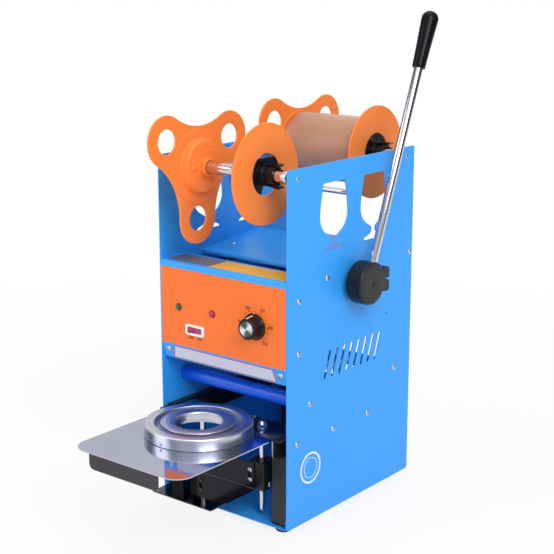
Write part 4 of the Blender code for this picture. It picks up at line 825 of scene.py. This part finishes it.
pointer_sides = (KNOB_X - POINTER_HALF, KNOB_X + POINTER_HALF)
pointer_foot = block(
    (pointer_sides[0], -0.0024, KNOB_Z + 0.015), (pointer_sides[1], -0.0012, KNOB_Z + 0.0182), 0.0001,
)
line = [(-0.0042, 0.015), (-0.0165, 0.0134), (-0.0165, 0.0142), (-0.0042, 0.0158)]
pointer_line = extruded("X", *pointer_sides, [(y, KNOB_Z + up) for y, up in line])
made("knob_pointer", joined(pointer_foot, pointer_line), WHITE, "temperature_knob")

# Film rollers
ROLLER_Z = 0.166
ROLLER_END = SPAN - 0.0007
ROLLER_PROFILE = [
    (0, -SPAN), (0.004, -SPAN), (0.004, -ROLLER_END), (0.01, -ROLLER_END), (0.01, ROLLER_END),
    (0.004, ROLLER_END), (0.004, SPAN), (0, SPAN),
]
for end, y in (("front", 0.0455), ("rear", 0.2435)):
    lathed(
        f"{end}_roller_tube", "X", (0, y, ROLLER_Z), ROLLER_PROFILE, 0.0005, 64, ROLLER, f"{end}_roller",
        f"{end}_roller",
    )

# Deck screws
for hand, side, twist in (("left", -1, 0.5), ("right", 1, 1.1)):
    screw(f"deck_screw_{hand}", (side * 0.085, 0.125, 0.34095), (0, -0.11, 1), "frame", 1.0, twist)

# Film reels

LOBE_RADIUS = 0.034
LOBE_HOLE = 0.0165
WAIST = 0.0525
DISH_RADIUS = 0.049
DISH_RISE = 0.011
DISC_RADIUS = 0.0655
DISC_HOLE = 0.027
PLATE_HALF = 0.0015
REEL_BORE = 0.0088
SHAFT_END = SPAN - 0.0003
SHAFT_STEP = 0.0973
SHAFT_PROFILE = [
    (0, -SHAFT_END), (0.006, -SHAFT_END), (0.006, -SHAFT_STEP), (0.0085, -SHAFT_STEP), (0.0085, SHAFT_STEP),
    (0.006, SHAFT_STEP), (0.006, SHAFT_END), (0, SHAFT_END),
]
CLAMP_RADIUS = 0.0267
CLAMP_NOTCH_RADIUS = 0.015
CLAMP_NOTCH = radians(43)
CLAMP_FLAT_FROM = radians(125)
CLAMP_FLAT_TO = radians(195)
WING = (
    (0.0015, 0.01), (0.0015, 0.013), (0.022, 0.0165), (0.026, 0.015), (0.022, 0.0115), (0.0165, 0.01),
)
WING_HALF = 0.0045
NUT_RADIUS = 0.0118
HUB_RADIUS = 0.0145


def lobe_outline(centre):
    """The three-lobed outline, lobe arcs joined smoothly by hollow arcs."""
    room = WAIST**2 + LOBE_REACH**2 - LOBE_REACH * WAIST - LOBE_RADIUS**2
    hollow = room / (2 * LOBE_RADIUS - 2 * WAIST + LOBE_REACH)
    outline = []
    for number in range(3):
        turn = LOBE_ANGLE + tau * number / 3
        lobe = Vector(spot_round((0, 0), LOBE_REACH, turn))
        pit = Vector(spot_round((0, 0), hollow + WAIST, turn + pi / 3))
        half = (pit - lobe).angle(lobe)
        outline += arc(lobe, LOBE_RADIUS, turn - half, turn + half, 40)
        facing = turn + pi / 3 + pi
        opened = (lobe - pit).angle(-pit)
        outline += arc(pit, hollow, facing + opened, facing - opened, 22)[1:-1]
    return [(centre[0] + point[0], centre[1] + point[1]) for point in outline]


def clamp_outline(centre, turn):
    """The clamp's round flange with a deep notch at one side and a flat opposite it."""
    outline = arc(centre, CLAMP_RADIUS, turn + CLAMP_NOTCH, turn + CLAMP_FLAT_FROM, 24)
    outline += arc(centre, CLAMP_RADIUS, turn + CLAMP_FLAT_TO, turn + tau - CLAMP_NOTCH, 30)
    return outline + arc(centre, CLAMP_NOTCH_RADIUS, turn - CLAMP_NOTCH, turn + CLAMP_NOTCH, 20)


def wing_nut(y, disc_x, clamp_turn):
    """The clamp that holds the outer disc: flange, hub and two wings."""
    face = disc_x + PLATE_HALF
    core = [
        (REEL_BORE, disc_x - PLATE_HALF), (HUB_RADIUS, disc_x - PLATE_HALF), (HUB_RADIUS, face + 0.003),
        (NUT_RADIUS, face + 0.003), (NUT_RADIUS, face + 0.018), (REEL_BORE, face + 0.018),
    ]
    shapes = [extruded("X", disc_x - 0.0012, face, clamp_outline((y, REEL_Z), clamp_turn))]
    wing = softened([(face + reach, up) for reach, up in WING], 0.0016, 4)
    for side in (-1, 1):
        outline = [(x, REEL_Z + side * up) for x, up in wing]
        shapes.append(extruded("Y", y - WING_HALF, y + WING_HALF, outline))
    return joined(turned("X", (0, y, REEL_Z), softened(core, 0.0007), 96), *shapes)


def reel(end, y, lobe_x, disc_x, clamp_turn):
    """The visible pieces of one film reel."""
    body = f"{end}_reel"
    place = (0, y, REEL_Z)
    middle = (y, REEL_Z)
    low = lobe_x - PLATE_HALF
    high = lobe_x + PLATE_HALF
    turns = [LOBE_ANGLE + tau * number / 3 for number in range(3)]
    holes = [circle(spot_round(middle, LOBE_REACH, turn), LOBE_HOLE) for turn in turns]
    holes.append(circle(middle, DISH_RADIUS, 96))
    plate = extruded("X", low, high, lobe_outline(middle), holes)
    dish_profile = [
        (REEL_BORE, low), (DISH_RADIUS, low), (DISH_RADIUS, high), (0.0502, high), (0.0495, high + 0.001),
        (0.0385, high + 0.0012), (0.037, high + 0.002), (0.0345, high + 0.0095), (0.033, high + DISH_RISE),
        (0.0135, high + DISH_RISE), (0.0125, high + 0.012), (0.012, high + 0.02), (REEL_BORE, high + 0.02),
    ]
    dish = turned("X", place, softened(dish_profile, 0.0012, 4), 128)
    made(f"{end}_lobe_plate", plate, ORANGE, body, f"{end}_reel_lobe", bevel=0.0007)
    made(f"{end}_lobe_dish", dish, ORANGE, body)
    for number in range(3):
        spot = spot_round(middle, 0.0225, LOBE_ANGLE + 0.6 + tau * number / 3)
        name = f"{end}_lobe_screw_{number + 1}"
        screw(name, (high + DISH_RISE, *spot), (1, 0, 0), body, 0.75, number, ORANGE_SCREW)
    lathed(
        f"{end}_outer_disc", "X", place,
        bar(DISC_RADIUS, disc_x - PLATE_HALF, disc_x + PLATE_HALF, DISC_HOLE), 0.0009, 160, ORANGE, body,
        f"{end}_reel_disc",
    )
    lathed(
        f"{end}_shaft_bar", "X", place, SHAFT_PROFILE, 0.0006, 64, CHROME, body, f"{end}_reel_shaft",
    )
    nut = wing_nut(y, disc_x, clamp_turn)
    made(f"{end}_wing_nut", nut, GLOSS_BLACK, body, f"{end}_reel_clamp", bevel=0.0008)


reel("front", FRONT_REEL_Y, -0.0555, 0.059, radians(290))
reel("rear", REAR_REEL_Y, -0.077, 0.058, radians(70))

ROLL_PLACE = (0, REAR_REEL_Y, REEL_Z)
lathed(
    "paper_tube", "X", ROLL_PLACE, bar(0.0403, -0.074, 0.0562, 0.0373), 0.0004, 128, PAPER, "rear_reel",
    "film_core",
)
lathed(
    "film_winding", "X", ROLL_PLACE, bar(0.0475, -0.072, 0.0542, 0.0406), 0.0009, 160, FILM, "rear_reel",
    "film_roll",
)
for end, y in REEL_ENDS:
    for hand, side in HANDS:
        lathed(
            f"bearing_block_{end}_{hand}", "X", (0, y, REEL_Z),
            bar(0.011, side * 0.1023, side * SPAN, 0.0063), 0.0008, 64, BLACK, "frame",
            f"reel_bearing_{end}_{hand}",
        )

# Lever

GRIP_RADIUS = 0.0116
BUSH_BORE = 0.0083


def along_lever(profile, steps=64):
    """A turned shape round the lever rod's centre line."""
    bm = turned("Z", (0, 0, 0), profile, steps)
    bm.transform(Matrix.Translation((LEVER_ROD_X, LEVER_Y, LEVER_Z)) @ Matrix.Rotation(-LEVER_LEAN, 4, "X"))
    return bm


hub_profile = [
    (BUSH_BORE, 0.1167), (0.015, 0.1167), (0.015, 0.119), (0.0285, 0.119), (0.029, 0.1195), (0.029, 0.1406),
    (0.0276, 0.142), (0.003, 0.142), (0.0024, 0.1412), (0, 0.141), (0, 0.138), (BUSH_BORE, 0.138),
]
hub = lathed(
    "hub_body", "X", LEVER_PLACE, hub_profile, 0.0006, 128, BLACK, "lever", "lever_hub",
)
cut(hub, along_lever(bar(0.0063, 0.0127, 0.034)))
for name, low, high in (("low", -0.0165, -0.00125), ("high", 0.00125, 0.0165)):
    outline = rounded_box((0.0262, low), (0.041, high), 0.003, 5)
    shape = extruded("X", 0.1205, 0.1405, [(LEVER_Y + y, LEVER_Z + z) for y, z in outline])
    made(f"hub_ear_{name}", shape, BLACK, "lever", bevel=0.0012)
lever_bar = along_lever(softened(bar(0.006, 0.013, 0.3447), 0.0005))
made("lever_bar", lever_bar, CHROME, "lever", "lever_rod")
grip = [
    (0, 0.345), (0.0063, 0.345), (0.0063, 0.297), (0.0078, 0.297), (0.0088, 0.2978), (0.0091, 0.2995),
    (0.0093, 0.31), (0.01, 0.33), (0.011, 0.352), (GRIP_RADIUS, 0.365),
]
grip += dome(GRIP_RADIUS, 0.3654, GRIP_RADIUS, 12)
made("grip_sleeve", along_lever(grip, 96), BLACK_SOFT, "lever", "lever_grip")
lathed(
    "cross_shaft", "X", LEVER_PLACE, bar(0.008, -0.1191, 0.1377), 0.0007, 64, CHROME, "lever", "lever_shaft",
)
bush_profile = [
    (BUSH_BORE, 0.1013), (0.016, 0.1013), (0.016, 0.1083), (0.011, 0.1083), (0.011, 0.1104), (0.018, 0.1104),
    (0.018, 0.1164), (BUSH_BORE, 0.1164),
]
for hand, side in HANDS:
    mirrored = [(radius, side * place) for radius, place in bush_profile]
    lathed(
        f"shaft_bush_{hand}", "X", LEVER_PLACE, mirrored, 0.0006, 96, STEEL, "frame", f"lever_bush_{hand}",
    )
dress(STEEL, "lever_cam", "head_crossbar", bevel=0.0004)

# Head

KNIFE_BORE = 0.0518
RAM_RADIUS = 0.008
RAM_DOME_Z = 0.288
for hand, side in HANDS:
    lathed(
        f"column_bar_{hand}", "Z", (side * 0.085, LEVER_Y, 0), bar(0.006, 0.158, 0.242), 0.0006, 48, CHROME,
        "frame", f"guide_column_{hand}",
    )
dress(HEAD_METAL, "head_carrier", bevel=0.0005)
heater = [(0, 0.1708), (0.0485, 0.1708), (0.0485, 0.1848), (0.02, 0.1848), (0.02, 0.192), (0, 0.192)]
lathed(
    "heated_disc", "Z", HEAD_PLACE, heater, 0.0012, 128, HEAD_METAL, "sealing_head", "heating_plate",
)
knife = [
    (KNIFE_BORE, 0.1683), (0.0521, 0.1683), (0.0555, 0.1713), (0.0555, 0.187), (0.067, 0.187), (0.067, 0.192),
    (KNIFE_BORE, 0.192),
]
lathed(
    "knife_ring", "Z", HEAD_PLACE, knife, 0.0002, 128, STEEL, "sealing_head", "cutter_ring",
)
ram = [(0, 0.2026), (0.018, 0.2026), (0.018, 0.2106), (RAM_RADIUS, 0.2106), (RAM_RADIUS, RAM_DOME_Z)]
ram_shape = turned("Z", HEAD_PLACE, ram + dome(RAM_RADIUS, RAM_DOME_Z, RAM_RADIUS, 8), 64)
made("ram_bar", ram_shape, STEEL, "sealing_head", "press_ram")

# Drawer

TRAY_BACK_CORNER = 0.006
TRAY_FRONT_CORNER = 0.024
EAR_X = 0.093
POST_LOW = 0.0018
POST_IN = 0.08
POST_OUT = 0.105
tray_outline = []
for centre, turn, radius in (
    ((0.0885, 0.04), 0.0, TRAY_BACK_CORNER),
    ((-0.0885, 0.04), pi / 2, TRAY_BACK_CORNER),
    ((-0.0705, TRAY_FRONT + TRAY_FRONT_CORNER), pi, TRAY_FRONT_CORNER),
    ((0.0705, TRAY_FRONT + TRAY_FRONT_CORNER), 3 * pi / 2, TRAY_FRONT_CORNER),
):
    tray_outline += arc(centre, radius, turn, turn + pi / 2, 20)
tray_holes = [circle(MOULD_PLACE[:2], 0.0425, 96)]
tray_holes += [circle((side * REST_ROD_X, REST_ROD_Y), 0.0043, 32) for side in (-1, 1)]
tray = extruded("Z", TRAY_BOTTOM, TRAY_TOP, tray_outline, tray_holes)
made("tray_sheet", tray, MIRROR, "drawer", "drawer_tray", bevel=0.0003)
lip = [
    (-0.052, 0.1064), (0.052, 0.1064), (0.056, 0.1072), (0.0588, 0.1095), (0.06, 0.113), (0.06, TRAY_BOTTOM),
    (-0.06, TRAY_BOTTOM), (-0.06, 0.113), (-0.0588, 0.1095), (-0.056, 0.1072),
]
lip_sheet = extruded("Y", TRAY_FRONT, TRAY_FRONT + SHEET, lip)
# The lip is the tray's own sheet; its darker steel is a painted dark reflection.
made("tray_lip", lip_sheet, PAINTED_DARK_MIRROR, "drawer", bevel=0.0004)
for hand, side in HANDS:
    span = sorted((side * EAR_X, side * (EAR_X + SHEET)))
    ear = block((span[0], -0.01, 0.104), (span[1], 0.04, TRAY_BOTTOM), 0.0004)
    made(f"tray_ear_{hand}", ear, MIRROR, "drawer")
    screw(f"ear_screw_{hand}", (side * EAR_X, 0.004, 0.1157), (-side, 0, 0), "drawer", 0.9, 0.3)
post_top = min(0.1025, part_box("drawer_rail_right")[0][2] - SHIFT.z) - 0.0002
for hand, side in HANDS:
    for end, y in (("front", 0.0065), ("rear", 0.2615)):
        flange = sorted((side * POST_IN, side * POST_OUT))
        web = sorted((side * (POST_OUT - SHEET), side * POST_OUT))
        post = block((flange[0], y, POST_LOW), (flange[1], y + SHEET, post_top))
        post = joined(post, block((web[0], y + SHEET, POST_LOW), (web[1], y + 0.0165, post_top)))
        made(f"rail_post_{end}_{hand}", post, BLACK_ZINC, "frame", bevel=0.0003)
dress(
    BLACK_ZINC, "drawer_rail_left", "drawer_rail_right", "drawer_slide_left", "drawer_slide_right",
    bevel=0.0002,
)

# Cup mould
MOULD_LOW = 0.1286
MOULD_TOP = 0.1443
mould_profile = [
    (0.0465, MOULD_LOW), (0.0716, MOULD_LOW), (MOULD_RADIUS, 0.129), (MOULD_RADIUS, 0.1428),
    (0.0716, 0.1436), (0.0709, 0.1441), (0.07, MOULD_TOP), (0.0583, MOULD_TOP), (0.0577, 0.1437),
    (0.0577, 0.1368), (0.0465, 0.1368),
]
insert_profile = [
    (0.0405, MOULD_LOW), (0.0462, MOULD_LOW), (0.0462, 0.1371), (0.05, 0.1371), (0.05, 0.1438),
    (0.0494, MOULD_TOP), (0.047, MOULD_TOP), (0.0468, 0.1441), (0.0466, MOULD_TOP), (0.0335, MOULD_TOP),
    (0.032, 0.1428), (0.032, 0.1343), (0.0405, 0.1343),
]
for name, profile, node in (
    ("mould_ring", mould_profile, "cup_mould"), ("mould_insert", insert_profile, "cup_ring_insert"),
):
    lathed(name, "Z", MOULD_PLACE, profile, 0.0003, 192, MOULD_METAL, "drawer", node)
SET_SCREW_TURN = radians(-90)
SET_SCREW_Z = 0.1322
socket_profile = [
    (0, -0.003), (0.0019, -0.003), (0.0019, 0.0001), (0.0011, 0.0001), (0.0011, -0.0016), (0, -0.0016),
]
socket = turned("Z", (0, 0, 0), socket_profile, 24)
socket.transform(
    Matrix.Translation(MOULD_PLACE)
    @ Matrix.Rotation(SET_SCREW_TURN, 4, "Z")
    @ Matrix.Translation((MOULD_RADIUS, 0, SET_SCREW_Z))
    @ Matrix.Rotation(pi / 2, 4, "Y")
)
made("mould_set_screw", socket, BLACK_ZINC, "drawer")

# Hanging rods with their dome nuts
NUT_TOP = TRAY_TOP + 0.0042
NUT_ACROSS_FLATS = 0.011
nut_profile = [(0, TRAY_TOP), (0.0067, TRAY_TOP), (0.0067, TRAY_TOP + 0.0008), (0.0061, TRAY_TOP + 0.0012)]
nut_profile += [(0.0061, NUT_TOP), (0.005, TRAY_TOP + 0.0049), *dome(0.0047, TRAY_TOP + 0.0049, 0.0045, 7)]
for hand, side in HANDS:
    place = (side * REST_ROD_X, REST_ROD_Y, 0)
    lathed(
        f"hanger_rod_{hand}", "Z", place, bar(0.004, 0.01, MOULD_LOW), 0.0005, 48, CHROME, "drawer",
        f"rest_rod_{hand}",
    )
    nut = turned("Z", place, nut_profile, 48)
    for vertex in nut.verts:
        flat = Vector((vertex.co.x - place[0], vertex.co.y - place[1]))
        if flat.length > 0.0058 and TRAY_TOP + 0.001 < vertex.co.z < NUT_TOP + 0.0003:
            turn = atan2(flat.y, flat.x) % (pi / 3) - pi / 6
            flat *= NUT_ACROSS_FLATS / 2 / cos(turn) / flat.length
            vertex.co.x = place[0] + flat.x
            vertex.co.y = place[1] + flat.y
    made(f"dome_nut_{hand}", nut, CHROME, "drawer", sharp=25)

# Cup rest

REST_HALF = 0.0515
REST_LOW = 0.0425
REST_SCREW_X = 0.0445
REST_SLOT_HALF = 0.0028
CLAMP_HALF = 0.0138
BEND_OUTER = 0.0028
BEND_INNER = 0.0013
plate_y = REST_ROD_Y - CLAMP_HALF - 0.0003
slots = [
    rounded_box((middle - REST_SLOT_HALF, 0.052), (middle + REST_SLOT_HALF, 0.074), 0.0027, 5)
    for middle in (-REST_SCREW_X, REST_SCREW_X)
]
upright_edge = rounded_box((-REST_HALF, 0.045), (REST_HALF, 0.081), 0.0006, 2)
upright = extruded("Y", plate_y - SHEET, plate_y, upright_edge, slots)
floor_edge = rounded_box((-REST_HALF, -0.084), (REST_HALF, plate_y - 0.0025), 0.0006, 2)
floor_sheet = extruded("Z", REST_LOW, REST_LOW + SHEET, floor_edge)
bend_middle = (plate_y - BEND_OUTER, 0.0453)
bend_ring = arc(bend_middle, BEND_OUTER, -pi / 2, 0.0, 6)
bend_ring += reversed(arc(bend_middle, BEND_INNER, -pi / 2, 0.0, 6))
bend = extruded("X", -REST_HALF, REST_HALF, bend_ring)
rest_sheet = joined(upright, floor_sheet, bend)
# The rest sheet's darker steel is a painted dark reflection.
made("rest_sheet", rest_sheet, PAINTED_DARK_MIRROR, "cup_rest", "cup_rest_plate")
for hand, side in HANDS:
    x = side * REST_ROD_X
    low = (x - CLAMP_HALF, REST_ROD_Y - CLAMP_HALF, 0.043)
    high = (x + CLAMP_HALF, REST_ROD_Y + CLAMP_HALF, 0.083)
    clamp = block(low, high, 0.0018, 3)
    item = made(f"clamp_block_{hand}", clamp, BLACK, "cup_rest", f"rest_block_{hand}")
    cut(item, turned("Z", (x, REST_ROD_Y, 0), bar(0.0043, 0.04, 0.086), 48))
    for number, z in enumerate((0.056, 0.07)):
        place = (side * REST_SCREW_X, plate_y - SHEET, z)
        screw(f"rest_screw_{hand}_{number + 1}", place, (0, -1, 0), "cup_rest", 1.05, number)
    place = (x + side * CLAMP_HALF, REST_ROD_Y, 0.05)
    screw(f"clamp_screw_{hand}", place, (side, 0, 0), "cup_rest", 1.3, 0.5)

# Plain round sticker on the right panel
STICKER = (0.0508, 0.075)
for name, outer, inner in (("line", 0.0142, 0.0134), ("ring", 0.022, 0.0192)):
    edge, hole = circle(STICKER, outer, 96), circle(STICKER, inner, 96)
    stuck_on(f"round_sticker_{name}", extruded("X", HALF_WIDTH, HALF_WIDTH + LABEL, edge, [hole]), WHITE)

# Camera, fitted to the photograph's edges

CAMERA_PLACE = (1.0841, -1.2377, 0.7362)
CAMERA_RIGHT = Vector((0.7808, 0.6248, 0.0))
CAMERA_AIM = Vector((-0.6065, 0.7579, -0.2404))
camera_data = bpy.data.cameras.new("camera")
camera_data.lens = 84.26
camera_data.sensor_width = 36.0
camera = linked("camera", camera_data, (0, 0, 0))
right = CAMERA_RIGHT.normalized()
back = -CAMERA_AIM.normalized()
turn = Matrix((right, back.cross(right), back)).transposed()
camera.matrix_world = Matrix.Translation(SHIFT + Vector(CAMERA_PLACE)) @ turn.to_4x4()
bpy.context.scene.camera = camera

# Studio

WORLD_LEVEL = 0.45
LOW_SHADE = (0.42, 0.42, 0.44, 1)
LOW_SHADE_TO = 0.5
WHITE_FROM = 0.8
SIDE_DIRECTION = (0.7808, 0.6248, 0.0)
SIDE_FROM = 0.5
SIDE_TO = 0.85
SIDE_SHADE = 0.16
FLOOR_COLOUR = (0.85, 0.85, 0.85, 1)
FLOOR_SIZE = 6.0
GLOW_NEAR = 0.86
GLOW_FROM = 0.45
GLOW_TO = 1.4


def area_light(name, place, target, size, power):
    """A soft rectangular lamp aimed at a point."""
    data = bpy.data.lights.new(name, "AREA")
    data.shape = "RECTANGLE"
    data.size, data.size_y = size
    data.energy = power
    item = linked(name, data, place)
    item.rotation_euler = (Vector(target) - Vector(place)).to_track_quat("-Z", "Y").to_euler()


def mixed(tree, share, first, second):
    """Mixes two shaders by a share."""
    node = added(tree, "MixShader")
    wire(tree, (share, node.inputs["Fac"]), (first, node.inputs[1]), (second, node.inputs[2]))
    return node.outputs["Shader"]


area_light("key", (1.9, -1.2, 1.9), (0, 0, 0.3), (1.4, 1.4), 44)
area_light("fill", (-1.6, -1.9, 1.3), (0, 0, 0.3), (1.6, 1.6), 20)
area_light("top", (0.1, 0.1, 2.4), (0, 0, 0.2), (1.6, 1.6), 11)
area_light("back", (-0.8, 2.0, 1.6), (0, 0, 0.4), (1.4, 1.0), 6)

# The world is white to look at and to look through. Gloss sees it darken towards the ground and on
# either side of one fixed direction, which gives bare metal its contrast.
world = bpy.data.worlds.new("studio")
bpy.context.scene.world = world
world.use_nodes = True
tree = world.node_tree
tree.nodes.clear()
plain = added(tree, "Background", {"Color": LIGHT_WHITE, "Strength": WORLD_LEVEL}).outputs["Background"]
seen = added(tree, "Background", {"Color": LIGHT_WHITE, "Strength": 1.0}).outputs["Background"]
mirror = added(tree, "Background", {"Strength": 1.0})
direction = added(tree, "TexCoord").outputs["Generated"]
split = added(tree, "SeparateXYZ")
sky = added(tree, "ValToRGB")
for number, (position, colour) in enumerate(((LOW_SHADE_TO, LOW_SHADE), (WHITE_FROM, LIGHT_WHITE))):
    sky.color_ramp.elements[number].position = position
    sky.color_ramp.elements[number].color = colour
sideways = added(tree, "VectorMath", {1: SIDE_DIRECTION}, operation="DOT_PRODUCT")
shaded = added(tree, "VectorMath", operation="SCALE")
wire(tree, (direction, split.inputs["Vector"]), (direction, sideways.inputs[0]))
wire(tree, (spread(tree, split.outputs["Z"], 0.0, 1.0, -1.0, 1.0), sky.inputs["Fac"]))
either = reckoned(tree, "ABSOLUTE", sideways.outputs["Value"])
flags = spread(tree, either, 1.0, SIDE_SHADE, SIDE_FROM, SIDE_TO, interpolation_type="SMOOTHSTEP")
wire(tree, (sky.outputs["Color"], shaded.inputs[0]), (flags, shaded.inputs["Scale"]))
wire(tree, (shaded.outputs["Vector"], mirror.inputs["Color"]))
path = added(tree, "LightPath")
shade = mixed(tree, path.outputs["Is Glossy Ray"], plain, mirror.outputs["Background"])
shade = mixed(tree, path.outputs["Is Transmission Ray"], shade, seen)
shade = mixed(tree, path.outputs["Is Camera Ray"], shade, seen)
wire(tree, (shade, added(tree, "OutputWorld").inputs["Surface"]))

# The floor glows white for what looks at it, a little less near the machine, so that its shadow shows
floor_shape = bmesh.new()
bmesh.ops.create_grid(floor_shape, x_segments=1, y_segments=1, size=FLOOR_SIZE)
floor_mesh = bpy.data.meshes.new("floor")
floor_shape.to_mesh(floor_mesh)
floor_shape.free()
floor = linked("floor", floor_mesh, (0, 0, 0))
floor_material = bpy.data.materials.new("studio_floor")
floor_material.use_nodes = True
tree = floor_material.node_tree
tree.nodes.clear()
matt = added(tree, "BsdfDiffuse", {"Color": FLOOR_COLOUR}).outputs["BSDF"]
glow = added(tree, "Emission", {"Color": LIGHT_WHITE, "Strength": 1.0}).outputs["Emission"]
path = added(tree, "LightPath")
looked_at = path.outputs["Is Camera Ray"]
for ray in ("Is Glossy Ray", "Is Transmission Ray"):
    looked_at = reckoned(tree, "ADD", looked_at, path.outputs[ray], use_clamp=True)
reach = added(tree, "VectorMath", operation="LENGTH")
wire(tree, (added(tree, "TexCoord").outputs["Object"], reach.inputs[0]))
fade = spread(tree, reach.outputs["Value"], GLOW_NEAR, 1.0, GLOW_FROM, GLOW_TO)
shade = mixed(tree, reckoned(tree, "MULTIPLY", looked_at, fade), matt, glow)
wire(tree, (shade, added(tree, "OutputMaterial").inputs["Surface"]))
floor_mesh.materials.append(floor_material)
floor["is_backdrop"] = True

bpy.context.scene.view_settings.view_transform = "Standard"

low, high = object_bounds()
